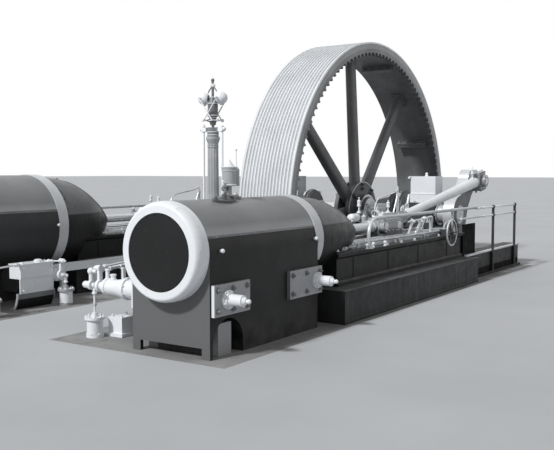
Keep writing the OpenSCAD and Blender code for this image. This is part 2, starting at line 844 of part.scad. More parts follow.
// Cross-arm on a collar above the capital, with the two side rods down to the column's foot
module governor_yoke() {
  half = 133;
  arm_h = 45;
  foot_h = 60;
  collar_d = 1.1 * gov_top_d;
  collar_h = arm_z - ground_z - gov_col_h;
  color("whitesmoke") near() translate([-gov_x, gov_y, 0]) {
    difference() {
      union() {
        translate([0, 0, arm_z - collar_h]) cylinder(d = collar_d, h = collar_h, $fn = 64);
        block([-25, -half - 15, arm_z - 1], [25, half + 15, arm_z + arm_h]);
        translate([0, 0, arm_z - 1]) cylinder(d = 0.9 * collar_d, h = arm_h + 1, $fn = 64);
        translate([0, half, arm_z + arm_h - 1]) cylinder(d1 = 30, d2 = 20, h = 40, $fn = 32);
      }
      translate([0, 0, arm_z - collar_h - 1]) cylinder(d = 60, h = collar_h + arm_h + 2, $fn = 48);
    }
    for (side = [-1, 1]) {
      bar([0, side * half, ground_z + foot_h], [0, side * half, arm_z], 24);
      translate([0, side * half, ground_z + foot_h]) cylinder(d = 50, h = 40, $fn = 32);
    }
  }
}

// Oil pot with a cone lid on the boss of the near cylinder, and a smaller cup beside it
module oil_pot() {
  foot_t = 18;
  stem_h = 80;
  body_z = foot_t + stem_h;
  rim_t = 22;
  lid_h = 78;
  cup_d = 64;
  cup_gap = 16;
  cup_x = pot_d / 2 + cup_gap + cup_d / 2;
  color("whitesmoke") near() translate([-pot_x, 0, boss_top_z]) {
    cylinder(d = 0.8 * boss_d, h = foot_t, $fn = 64);
    cylinder(d = 52, h = body_z, $fn = 48);
    translate([0, 0, body_z]) cylinder(d = pot_d, h = pot_h, $fn = 64);
    translate([0, 0, body_z + pot_h]) cylinder(d = 1.12 * pot_d, h = rim_t, $fn = 64);
    translate([0, 0, body_z + pot_h + rim_t]) cylinder(d1 = pot_d, d2 = 14, h = lid_h, $fn = 64);
    translate([0, 0, body_z + pot_h + rim_t + lid_h - 6]) sphere(d = 22, $fn = 24);
    translate([0, 0, body_z + 24]) along_x() cylinder(d = 26, h = cup_x, $fn = 24);
    translate([cup_x, 0, body_z]) cylinder(d = cup_d, h = pot_h, $fn = 48);
    translate([cup_x, 0, body_z + pot_h]) cylinder(d1 = 1.15 * cup_d, d2 = 12, h = 46, $fn = 48);
    translate([cup_x, 0, body_z + pot_h]) cylinder(d = 10, h = 190, $fn = 24);
  }
}

// Crankshaft between the webs, with stubs that fill the bores of the webs
module crankshaft() {
  half = engine_spacing / 2;
  color("silver") wheel_centre() {
    translate([0, -half + web_back_y, 0]) along_y()
      cylinder(d = shaft_d, h = 2 * (half - web_back_y), $fn = 96);
    translate([0, -collar_end, 0]) along_y() cylinder(d = hub_seat_d, h = 2 * collar_end, $fn = 96);
    for (side = [-1, 1]) translate([0, side * (half - web_y - web_t / 2) - web_t / 2, 0])
      along_y() cylinder(d = shaft_d - 40, h = web_t, $fn = 96);
  }
}

// Rim with its rope grooves and the barring teeth inside its near edge
module flywheel_rim() {
  mid = groove_pitch / 2;
  flat = 0.16 * groove_pitch;
  function groove(i) = let (y = -wheel_w / 2 + groove_land + i * groove_pitch) [
    [wheel_r, y + flat], [wheel_r - groove_depth, y + mid - flat],
    [wheel_r - groove_depth, y + mid + flat], [wheel_r, y + groove_pitch - flat]
  ];
  color("lightgray") wheel_centre() {
    along_y() rotate_extrude($fn = 240)
      polygon(concat(
        [[rim_bottom_r, -wheel_w / 2], [wheel_r, -wheel_w / 2]],
        [for (i = [0:groove_count - 1]) each groove(i)],
        [[wheel_r, wheel_w / 2], [rim_bottom_r, wheel_w / 2]]
      ));
    translate([0, -wheel_w / 2, 0]) along_y() linear_extrude(tooth_w) barring_teeth();
  }
}

// Ring of inward teeth that a bar or a small engine turns the wheel by
module barring_teeth() {
  step = 360 / tooth_count;
  root_r = rim_bottom_r - 20;
  tip_r = root_r - tooth_depth;
  outer_r = rim_bottom_r + 10;
  function at(r, a) = [r * cos(a), r * sin(a)];
  difference() {
    circle(r = outer_r, $fn = 240);
    polygon([for (i = [0:tooth_count - 1]) each [
      at(root_r, (i - 0.3) * step), at(root_r, (i + 0.3) * step),
      at(tip_r, (i + 0.42) * step), at(tip_r, (i + 0.58) * step)
    ]]);
  }
}

module flywheel_arms() {
  arm_end_r = sqrt(pow(rim_bottom_r - seat_gap, 2) - pow(arm_rim_w / 2, 2));
  color("gray") wheel_centre() for (i = [0:arm_count - 1])
    rotate([0, -arm_angle - 360 * i / arm_count, 0])
      section_y(-arm_t / 2, arm_t / 2) polygon([
        [boss_hub_r, -arm_hub_w / 2], [arm_end_r, -arm_rim_w / 2],
        [arm_end_r, arm_rim_w / 2], [boss_hub_r, arm_hub_w / 2]
      ]);
}

module flywheel_hub() {
  collar_t = 56;
  collar_r = hub_seat_d / 2 + collar_t;
  color("#3a3c3d") wheel_centre() difference() {
    union() {
      translate([0, -hub_half, 0]) along_y() cylinder(r = boss_hub_r - seat_gap, h = 2 * hub_half, $fn = 96);
      translate([0, -collar_end, 0]) along_y() cylinder(r = collar_r, h = 2 * collar_end, $fn = 96);
      for (y = [-arm_t / 2 - hub_flange_t, arm_t / 2])
        translate([0, y, 0]) along_y() cylinder(r = hub_r, h = hub_flange_t, $fn = 96);
    }
    translate([0, -collar_end - 1, 0]) along_y() cylinder(d = hub_seat_d, h = 2 * collar_end + 2, $fn = 96);
  }
}

// Waisted crank web with its boss on the shaft's end, turned to the given angle
module crank(angle) {
  side = [
    [0, boss_r * 0.95], [0.27 * crank_r, boss_r * 0.74], [0.5 * crank_r, waist_half * 1.1],
    [0.75 * crank_r, waist_half], [0.92 * crank_r, waist_half * 1.07], [crank_r, pin_end_r * 0.98]
  ];
  count = len(side);
  collar_t = 24;
  color("#4a4c4e") rotate([0, -angle, 0]) difference() {
    union() {
      section_y(web_y, web_back_y) {
        circle(r = boss_r, $fn = 96);
        translate([crank_r, 0]) circle(r = pin_end_r, $fn = 72);
        polygon([for (i = [0:2 * count - 1]) i < count ? side[i] : [side[2 * count - 1 - i][0],
          -side[2 * count - 1 - i][1]]]);
      }
      translate([0, web_back_y - 1, 0]) along_y() cylinder(r = 0.8 * boss_r, h = collar_t + 1, $fn = 96);
    }
    translate([0, web_y - 1, 0]) along_y() cylinder(d = shaft_d - 40, h = web_t + 1, $fn = 96);
    translate([0, web_back_y, 0]) along_y() cylinder(d = shaft_d + 2 * seat_gap, h = collar_t + 1, $fn = 96);
  }
}

module near_crank() {
  near() crank(crank_angle);
}

module far_crank() {
  far() crank(far_angle);
}

// Two eccentrics beside each main bearing; each sheave has a raised band on its edge
module eccentrics() {
  first_y = bearing_end_y + 140;
  pitch = 110;
  sheave_t = 80;
  band_t = 34;
  turn = 100;
  color("silver") both() for (i = [0, 1]) difference() {
    translate([0, first_y + i * pitch, 0]) rotate([0, -crank_angle - turn * i, 0])
      translate([eccentric_throw, 0, 0]) along_y() {
      cylinder(r = eccentric_r, h = sheave_t, $fn = 96);
      translate([0, 0, (sheave_t - band_t) / 2]) cylinder(r = eccentric_r + 22, h = band_t, $fn = 96);
    }
    translate([0, first_y + i * pitch - 1, 0]) along_y() cylinder(d = shaft_d, h = sheave_t + 2, $fn = 96);
  }
}

// Places the children at the crosshead pin for a crank at the given angle
function head_x(angle) = crank_r * cos(angle) - sqrt(pow(rod_len, 2) - pow(crank_r * sin(angle), 2));
function rod_tilt(angle) = asin(crank_r * sin(angle) / rod_len);

// Crosshead: a middle block with the pin, a plate below, two cheeks on runners and a rod socket
module crosshead() {
  cheek_out = slide_out - 5;
  foot_z = slide_z + seat_gap;
  plate_top = foot_z + 26;
  plate_front = 100;
  pin_out = 100;
  socket_r = 92;
  socket_len = 220;
  cup_x = [-295, 174];
  cup_h = 20;
  color("#55585a") {
    difference() {
      union() {
        block([head_rear, -head_half, foot_z], [head_front, head_half, head_top]);
        block([head_rear, -cheek_out, foot_z], [plate_front, cheek_out, plate_top]);
        translate([head_rear, 0, 0]) along_x() cylinder(r = socket_r, h = socket_len, $fn = 64);
        for (side = [0, 1]) mirror([0, side, 0]) {
          block([-slipper_len / 2, cheek_in, foot_z], [slipper_len / 2, cheek_out, -0.7 * cheek_r]);
          section_y(cheek_in, cheek_out) {
            translate([cheek_rear, 0]) circle(r = cheek_r, $fn = 64);
            translate([cheek_front, 0]) circle(r = cheek_r, $fn = 64);
            translate([cheek_rear, -cheek_r]) square([cheek_front - cheek_rear, 2 * cheek_r]);
          }
          for (x = cup_x) translate([x, (cheek_in + cheek_out) / 2, 0])
            cylinder(d = 56, h = cheek_r + cup_h, $fn = 32);
          block([head_rear, head_half - 1, foot_z], [-eye_r - 60, cheek_in + 1, cheek_r - 20]);
        }
      }
      block([-eye_r - 30, head_half, plate_top], [plate_front + 200, cheek_in, head_top + 1]);
      block([-eye_r - 30, -cheek_in, plate_top], [plate_front + 200, -head_half, head_top + 1]);
      translate([head_rear - 1, 0, 0]) along_x()
        cylinder(d = piston_rod_d + 2 * seat_gap, h = rod_seat + 1, $fn = 64);
      translate([0, -pin_out - 1, 0]) along_y() cylinder(d = gudgeon_d, h = 2 * pin_out + 2, $fn = 64);
    }
  }
  color("silver") translate([0, -pin_out, 0]) along_y() cylinder(d = gudgeon_d, h = 2 * pin_out, $fn = 64);
}

module near_crosshead() {
  near() translate([head_x(crank_angle), 0, 0]) crosshead();
}

module far_crosshead() {
  far() translate([head_x(far_angle), 0, 0]) crosshead();
}

module piston_rod(angle) {
  rod_in = 350;
  inner_end = -cyl_front_x - rod_in + head_x(angle) - head_x(crank_angle);
  outer_end = head_x(angle) + head_rear + rod_seat;
  color("silver") translate([inner_end, 0, 0]) along_x()
    cylinder(d = piston_rod_d, h = outer_end - inner_end, $fn = 64);
}

module near_piston_rod() {
  near() piston_rod(crank_angle);
}

module far_piston_rod() {
  far() piston_rod(far_angle);
}

// Connecting rod along +X: fork round its crosshead pin, shank, strap, and the crankpin in its brasses
module connecting_rod() {
  shank_end = rod_len - strap_rear;
  pin_out = strap_w / 2;
  bridge = 90;
  cap_t = 62;
  collar_h = 26;
  color("lightgray") difference() {
    union() {
      for (side = [0, 1]) mirror([0, side, 0]) {
        translate([0, fork_in, 0]) along_y() cylinder(r = eye_r, h = fork_out - fork_in, $fn = 72);
        block([0, fork_in, -arm_half], [fork_len, fork_out, arm_half]);
      }
      block([fork_len - bridge, -fork_out, -arm_half], [fork_len, fork_out, arm_half]);
      translate([fork_len - 1, 0, 0]) along_x()
        cylinder(d1 = rod_small_d + 50, d2 = rod_small_d, h = 120, $fn = 64);
      translate([fork_len - 1, 0, 0]) along_x()
        cylinder(d1 = rod_small_d, d2 = rod_big_d, h = shank_end - fork_len + 2, $fn = 64);
      block([shank_end, -strap_w / 2, -strap_h / 2], [rod_len + strap_front, strap_w / 2, strap_h / 2]);
      translate([shank_end - collar_h, 0, 0]) along_x()
        cylinder(d = rod_big_d + 4, h = collar_h + 1, $fn = 64);
    }
    translate([0, -fork_out - 1, 0]) along_y()
      cylinder(d = gudgeon_d + 2 * seat_gap, h = 2 * fork_out + 2, $fn = 64);
    translate([rod_len, -pin_out - 1, 0]) along_y() cylinder(d = crankpin_d, h = strap_w + 2, $fn = 72);
  }
  color("silver") translate([rod_len, 0, 0]) {
    translate([0, -pin_out - 1, 0]) along_y()
      cylinder(d = crankpin_d, h = pin_out + 1 + web_y - pin_gap, $fn = 72);
    translate([0, -pin_out - cap_t, 0]) along_y() cylinder(r = pin_cap_r, h = cap_t, $fn = 72);
  }
}

module near_connecting_rod() {
  near() translate([head_x(crank_angle), 0, 0]) rotate([0, -rod_tilt(crank_angle), 0]) connecting_rod();
}

module far_connecting_rod() {
  far() translate([head_x(far_angle), 0, 0]) rotate([0, -rod_tilt(far_angle), 0]) connecting_rod();
}

// Spindle, crossed arms, balls and centre weight of the governor
module governor_head() {
  ball_y = 122;
  ball_z = gov_head_h - 205;
  top_z = gov_head_h - 60;
  sleeve_z = 175;
  sleeve_half = 62;
  arm_d = 14;
  pin_d = 18;
  link_x = 86;
  link_z = sleeve_z + 11;
  pin_end = link_x + 11;
  seam_turn = 45;
  color("lightgray") near() translate([-gov_x, gov_y, ground_z + gov_col_h + seat_gap]) {
    cylinder(d = 30, h = gov_head_h, $fn = 32);
    translate([0, 0, gov_head_h]) sphere(d = 40, $fn = 32);
    translate([0, 0, sleeve_z - 45]) cylinder(d1 = 60, d2 = 84, h = 45, $fn = 48);
    translate([0, 0, sleeve_z]) cylinder(d = 108, h = 22, $fn = 48);
    translate([0, 0, sleeve_z + 22]) cylinder(d = 84, h = 30, $fn = 48);
    translate([0, 0, sleeve_z + 52]) cylinder(d = 118, h = 150, $fn = 64);
    translate([0, 0, sleeve_z + 202]) cylinder(d1 = 118, d2 = 70, h = 60, $fn = 64);
    for (side = [-1, 1]) {
      translate([0, side * sleeve_half, sleeve_z - 4]) rotate([0, 0, seam_turn])
        cylinder(d = 34, h = 30, $fn = 24);
      translate([0, side * ball_y, ball_z]) rotate([0, 0, seam_turn]) sphere(d = ball_d, $fn = 48);
      bar([0, side * 5, top_z], [0, side * ball_y, ball_z], arm_d);
      bar([side * link_x, side * ball_y, ball_z], [side * link_x, -side * sleeve_half, link_z], arm_d);
      bar([0, side * ball_y, ball_z], [side * pin_end, side * ball_y, ball_z], pin_d);
      bar([0, -side * sleeve_half, link_z], [side * pin_end, -side * sleeve_half, link_z], pin_d);
    }
  }
}

// Handwheel on a short valve stem at the bed's side
module handwheel() {
  rim_w = 26;
  color("silver") {
    rotate([90, 0, 0])
      rotate_extrude($fn = 64) translate([handwheel_d / 2 - rim_w / 2, 0]) circle(d = rim_w, $fn = 24);
    for (a = [0:60:300]) rotate([0, a, 0]) along_x()
      cylinder(d = 16, h = handwheel_d / 2 - rim_w / 2, $fn = 24);
    translate([0, -20, 0]) along_y() cylinder(d = 50, h = stem_out + 20, $fn = 32);
  }
}

module near_handwheel() {
  near() translate([-valve_stand_x, -bed_w / 2 - stem_out - seat_gap, stem_z]) handwheel();
}

module far_handwheel() {
  far() translate([-valve_stand_x, -bed_w / 2 - stem_out - seat_gap, stem_z]) handwheel();
}

foundations();
plinths();
beds();
near_cylinder_casing();
far_cylinder_casing();
near_rear_ring();
far_rear_ring();
near_rear_cover();
far_rear_cover();
near_front_band();
far_front_band();
near_trunk();
far_trunk();
slide_bars();
near_outer_valve_bonnets();
far_outer_valve_bonnets();
near_inner_valve_bonnets();
far_inner_valve_bonnets();
dashpots();
bearing_pedestals();
main_bearings();
bearing_guards();
stop_valves();
handrails();
crank_platforms();
crank_guards();
governor_column();
governor_yoke();
oil_pot();
crankshaft();
flywheel_rim();
flywheel_arms();
flywheel_hub();
near_crank();
far_crank();
eccentrics();
near_crosshead();
far_crosshead();
near_piston_rod();
far_piston_rod();
near_connecting_rod();
far_connecting_rod();
governor_head();
near_handwheel();
far_handwheel();
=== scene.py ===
import math
import bmesh
import bpy
from mathutils import Matrix, Vector


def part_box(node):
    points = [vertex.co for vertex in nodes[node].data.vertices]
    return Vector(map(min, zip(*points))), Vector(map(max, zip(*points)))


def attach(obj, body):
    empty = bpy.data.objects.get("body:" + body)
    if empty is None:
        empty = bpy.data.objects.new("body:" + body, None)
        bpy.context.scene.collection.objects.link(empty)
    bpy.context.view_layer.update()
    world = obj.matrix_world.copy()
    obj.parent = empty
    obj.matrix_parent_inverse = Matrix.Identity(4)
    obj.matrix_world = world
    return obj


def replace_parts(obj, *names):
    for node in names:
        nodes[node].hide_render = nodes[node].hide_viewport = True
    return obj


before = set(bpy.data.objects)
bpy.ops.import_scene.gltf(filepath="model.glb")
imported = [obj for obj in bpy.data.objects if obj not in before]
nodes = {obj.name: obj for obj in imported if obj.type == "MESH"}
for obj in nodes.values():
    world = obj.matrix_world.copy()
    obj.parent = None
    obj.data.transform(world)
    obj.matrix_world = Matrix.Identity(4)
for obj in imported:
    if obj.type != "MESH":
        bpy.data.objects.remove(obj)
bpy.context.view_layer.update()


# Sizes and places, in metres: +X from the cylinders to the cranks, +Y from the near engine to the far one

X, Y, Z = Vector((1, 0, 0)), Vector((0, 1, 0)), Vector((0, 0, 1))
AXIS_Z = 2.96
GROUND = 2.05
PLINTH_TOP, BED_TOP, BASE_TOP, SLIDE_TOP = 2.405, 2.76, 2.805, 2.84
SPACING = 4.0
WHEEL_Y = SPACING / 2
CYL_REAR, CASING_REAR, CYL_FRONT = -7.39, -7.24, -5.34
TRUNK_LEN, MOUTH_R, CUT_LEN, TRUNK_WALL = 1.08, 0.25, 0.70, 0.038
RING_W = 0.098
BARREL_R = 0.075
HEAD_X = -3.0206
ROD_LEN, CRANK_R = 3.6, 0.762
CRANK_ANGLE = math.radians(45)
ROD_ANGLE = math.asin(CRANK_R * math.sin(CRANK_ANGLE) / ROD_LEN)
GUDGEON = Vector((HEAD_X, 0, AXIS_Z))
SHAFT = Vector((0, 0, AXIS_Z))
GOVERNOR = Vector((-5.2, 1.1, 0))
HANDWHEEL = Vector((-1.79, -0.4603, 2.80))
POST_XS, GUARD_Y, GUARD_ZS = (0.0, 1.11), -0.451, (3.10, 2.97)
PIPE_R, RAIL_Z = 0.0215, 3.105


class Engine:
    """One engine, or one side of it; both are drawn as the near one, and the far one is mirrored."""

    def __init__(self, name, far=False, lag=0.44, lift=0.135, valve_xs=(-7.045, -5.535), valve_z=2.554,
                 face=0.476, lever_y=1.036, dashpot_y=1.126, ways=(-1, 1)):
        self.name, self.far = name, far
        self.lag, self.lift, self.root = lag, lift, lag - 0.022
        self.valve_xs, self.valve_z, self.face = valve_xs, valve_z, face
        self.lever_y, self.dashpot_y = lever_y, dashpot_y
        self.ways = ways
        self.crank_angle, self.rod_angle = (-CRANK_ANGLE, -ROD_ANGLE) if far else (CRANK_ANGLE, ROD_ANGLE)


NEAR = Engine("near")
OUTER, INNER = Engine("near_outer", ways=(-1,)), Engine("near_inner", ways=(1,))
FAR = Engine("far", True, 0.645, 0.2, (-6.94, -5.89), 2.4084, 0.70, 1.10, 1.19)


# Materials

def linear(tone):
    """Linear value of an 8-bit tone."""
    c = tone / 255
    return c / 12.92 if c <= 0.04045 else ((c + 0.055) / 1.055) ** 2.4


def grey(tone, tint=(1.0, 1.0, 1.0)):
    return tuple(linear(tone) * t for t in tint) + (1.0,)


COOL, WARM = (0.97, 1.0, 1.035), (1.03, 1.0, 0.95)
DUST_TONE = 168


class Nodes:
    """Short hand for building one material's node tree."""

    def __init__(self, name):
        self.mat = bpy.data.materials.new(name)
        self.mat.use_nodes = True
        self.tree = self.mat.node_tree
        self.bsdf = self.tree.nodes["Principled BSDF"]
        self.coords = self.tree.nodes.new("ShaderNodeTexCoord").outputs["Object"]

    def put(self, socket, value):
        """Links a socket to another one, or sets its value."""
        if isinstance(value, bpy.types.NodeSocket):
            self.tree.links.new(value, socket)
        else:
            socket.default_value = value

    def node(self, kind, inputs, **props):
        n = self.tree.nodes.new(kind)
        for key, value in props.items():
            setattr(n, key, value)
        for key, value in inputs.items():
            self.put(n.inputs[key], value)
        return n

    def xyz(self):
        return self.node("ShaderNodeSeparateXYZ", {0: self.coords}).outputs

    def noise(self, scale, detail=4.0, rough=0.55, stretch=None):
        vector = self.coords
        if stretch:
            vector = self.node("ShaderNodeMapping", {"Vector": vector, "Scale": stretch}).outputs[0]
        inputs = {"Vector": vector, "Scale": scale, "Detail": detail, "Roughness": rough}
        return self.node("ShaderNodeTexNoise", inputs).outputs[0]

    def ramp(self, value, low, high, out_low=0.0, out_high=1.0):
        inputs = {"Value": value, "From Min": low, "From Max": high, "To Min": out_low, "To Max": out_high}
        return self.node("ShaderNodeMapRange", inputs).outputs[0]

    def mix(self, factor, a, b):
        return self.node("ShaderNodeMix", {0: factor, 6: a, 7: b}, data_type="RGBA").outputs[2]

    def math(self, operation, *values):
        return self.node("ShaderNodeMath", dict(enumerate(values)), operation=operation).outputs[0]

    def finish(self, colour, rough, height, strength, distance, metal=0.0, specular=0.5):
        bump = self.node("ShaderNodeBump", {"Strength": strength, "Distance": distance, "Height": height})
        for key, value in (("Base Color", colour), ("Roughness", rough), ("Metallic", metal),
                           ("Specular IOR Level", specular), ("Normal", bump.outputs[0])):
            self.put(self.bsdf.inputs[key], value)
        return self.mat


def coat(tone, worn, **how):
    """Tone of a coat of paint or of bare metal, its tone where it is worn, and what else lies on it."""
    return {"tone": tone, "worn": worn, **how}


def coat_colour(m, tone, worn, dust=0.0, streaks=0.0, patch=0.18, scale=1.6):
    """Patchy paint or metal, with worn spots, pale runs and dust on what faces up."""
    base = grey(tone, COOL)
    dark = tuple(c * (1 - patch * 1.6) for c in base[:3]) + (1.0,)
    light = tuple(min(1.0, c * (1 + patch)) for c in base[:3]) + (1.0,)
    colour = m.mix(m.ramp(m.noise(scale, 5), 0.35, 0.65), dark, light)
    colour = m.mix(m.ramp(m.noise(scale * 11, 3), 0.62, 0.78), colour, grey(worn, COOL))
    if streaks:
        runs = m.ramp(m.noise(9.0, 3, 0.6, (1.0, 1.0, 0.06)), 0.56, 0.76, 0.0, streaks)
        colour = m.mix(runs, colour, grey(min(235, tone + 70), COOL))
    if dust:
        normal = m.node("ShaderNodeNewGeometry", {}).outputs["Normal"]
        up = m.node("ShaderNodeSeparateXYZ", {0: normal}).outputs[2]
        patches = m.ramp(m.noise(scale * 3, 4), 0.25, 0.6, 0.55, 1.0)
        lying = m.math("MULTIPLY", m.ramp(up, 0.15, 0.95, 0.0, dust), patches)
        colour = m.mix(lying, colour, grey(DUST_TONE, COOL))
    return colour


def paint(name, first, second=None, mask=None, rough=0.42, metal=0.0, strength=0.15, specular=0.35):
    """Painted or bare metal with a fine grain; a mask says where a second coat lies."""
    m = Nodes(name)
    colour = coat_colour(m, **first)
    if second:
        colour = m.mix(mask(m), colour, coat_colour(m, **second))
    patches = m.noise(5 * first.get("scale", 1.6), 4)
    shine = m.ramp(patches, 0.3, 0.7, max(0.05, rough - 0.1), min(1.0, rough + 0.12))
    return m.finish(colour, shine, m.noise(90.0, 3), strength, 0.004, metal, specular)


def beyond(axis, limit, below=False, soft=0.002):
    """Mask of what lies beyond a limit on one axis, in the model's own coordinates."""
    ends = (1.0, 0.0) if below else (0.0, 1.0)
    return lambda m: m.ramp(m.xyz()[axis], limit - soft, limit + soft, *ends)


def either(first, second):
    """Mask of what lies in one of two masks."""
    return lambda m: m.math("MAXIMUM", first(m), second(m))


def outside_band(low, high):
    """Mask of what lies outside two limits across the engines."""
    return either(beyond(1, low, below=True), beyond(1, high))


def radius(m, axes, centre):
    """Distance from a line along the third axis."""
    a, b = (m.math("SUBTRACT", m.xyz()[axis], place) for axis, place in zip(axes, centre))
    return m.math("SQRT", m.math("ADD", m.math("MULTIPLY", a, a), m.math("MULTIPLY", b, b)))


def within(limit, axes, centre, soft=0.0005):
    """Mask of what lies within a distance from a line along the third axis."""
    return lambda m: m.ramp(radius(m, axes, centre), limit - soft, limit + soft, 1.0, 0.0)


def near_spindle(limit):
    """Mask of what lies nearer to the governor's spindle than the limit."""
    return within(limit, (0, 1), GOVERNOR)


def at_posts(m):
    """Mask of the rails away from the guards' posts."""
    first, second = (m.math("COMPARE", m.xyz()[0], x, 0.034) for x in POST_XS)
    return m.math("SUBTRACT", 1.0, m.math("MAXIMUM", first, second))


def foot_block(m):
    """Mask of the block that stands in each foot arch of the near casing."""
    x, y, z = m.xyz()
    low = m.ramp(z, GROUND + 0.286, GROUND + 0.289, 1.0, 0.0)
    inside = m.math("MULTIPLY", m.math("COMPARE", x, -6.98, 0.1), m.math("COMPARE", y, 0.0, 0.405))
    return m.math("MULTIPLY", low, inside)


def rope_rim(name):
    """Grooves polished by the ropes, paler towards their bottoms as painted light against the shade in them;
    the sides and the inside are painted like the arms, the inside darker than the sides as painted shade.
    """
    m = Nodes(name)
    r = radius(m, (0, 2), (0.0, AXIS_Z))
    beside = outside_band(WHEEL_Y - 0.4488, WHEEL_Y + 0.4488)
    # Painted light: the groove bottoms are paler than the lands.
    tread = m.mix(m.ramp(r, 2.80, 2.858), grey(250), coat_colour(m, 226, 204, patch=0.05, scale=2.4))
    sides = coat_colour(m, 156, 128, patch=0.12, scale=2.4, dust=0.1)
    # Painted shade: the inside is darker than the sides.
    inside = coat_colour(m, 108, 88, patch=0.14, scale=2.4)
    painted = m.mix(beside(m), inside, sides)
    hidden = m.math("MAXIMUM", beside(m), m.ramp(r, 2.75, 2.754, 1.0, 0.0))
    shine = m.ramp(m.noise(8.0, 4), 0.3, 0.7, 0.4, 0.6)
    return m.finish(m.mix(hidden, tread, painted), shine, m.noise(90.0, 3), 0.15, 0.004, 0.0, 0.3)


def masonry(name):
    """Rendered brickwork of the foundations: faint courses, stains and a rough surface."""
    m = Nodes(name)
    colour = m.mix(m.ramp(m.noise(1.3, 6), 0.3, 0.7), grey(112), grey(150))
    colour = m.mix(m.ramp(m.noise(7.0, 5), 0.5, 0.75, 0.0, 0.6), colour, grey(92, WARM))
    waves = {"Vector": m.coords, "Scale": 2.1, "Distortion": 0.6, "Detail": 2.0}
    courses = m.node("ShaderNodeTexWave", waves, wave_type="BANDS", bands_direction="Z").outputs["Fac"]
    colour = m.mix(m.ramp(courses, 0.0, 0.12, 0.35, 0.0), colour, grey(80))
    height = m.math("ADD", m.noise(34.0, 6), m.ramp(courses, 0.0, 0.12, 0.0, 0.5))
    return m.finish(colour, m.ramp(m.noise(5.0), 0.3, 0.7, 0.8, 0.95), height, 0.5, 0.012)


def lagging(name, side_tone, sky_reflection_tone, end_tone, lift, block_tone=None):
    """Lagging sheets: dark below their joint, paler above it as a painted reflection of the sky, with a
    painted highlight band just above the joint.
    """
    m = Nodes(name)
    x, _, z = m.xyz()
    drift = m.math("MULTIPLY", m.math("SUBTRACT", m.noise(3.0, 3), 0.5), 0.03)
    edge = m.math("ADD", z, drift)
    joint = AXIS_Z + lift
    side_patches = m.ramp(m.noise(1.2, 6, 0.6, (1.0, 1.0, 0.4)), 0.3, 0.7)
    side = m.mix(side_patches, grey(side_tone - 8, COOL), grey(side_tone + 8, COOL))
    # Painted reflection of the sky: the top, above the joint, is paler than the sides.
    top_patches = m.ramp(m.noise(1.1, 6, 0.6), 0.3, 0.7)
    top = m.mix(top_patches, grey(sky_reflection_tone - 10, COOL), grey(sky_reflection_tone + 10, COOL))
    side = m.mix(m.ramp(x, CASING_REAR, CASING_REAR + 0.004, 1.0, 0.0), side, grey(end_tone, COOL))
    low = m.ramp(z, GROUND, GROUND + 0.35, 0.45, 0.0)
    side = m.mix(m.math("MULTIPLY", low, m.ramp(m.noise(6.0, 5), 0.35, 0.7)), side, grey(104, WARM))
    if block_tone is not None:
        side = m.mix(foot_block(m), side, grey(block_tone, COOL))
    # Painted highlight: a pale band just above the joint, standing for the reflected bright horizon.
    top = m.mix(m.ramp(edge, joint + 0.02, joint + 0.10, 0.9, 0.0), top, grey(sky_reflection_tone + 46, COOL))
    colour = m.mix(m.ramp(edge, joint - 0.004, joint + 0.01), side, top)
    spots = m.ramp(m.noise(26.0, 3), 0.66, 0.78, 0.0, 0.35)
    colour = m.mix(spots, colour, grey(side_tone + 45, COOL))
    shine = m.ramp(m.noise(3.0, 4), 0.3, 0.7, 0.36, 0.52)
    height = m.math("ADD", m.noise(1.6, 2), m.math("MULTIPLY", m.noise(80.0, 3), 0.12))
    return m.finish(colour, shine, height, 0.25, 0.02, specular=0.22)


WHITE = coat(236, 212, patch=0.03)
PLATE = coat(134, 106, patch=0.12)
BRIGHT = coat(216, 184, patch=0.06)

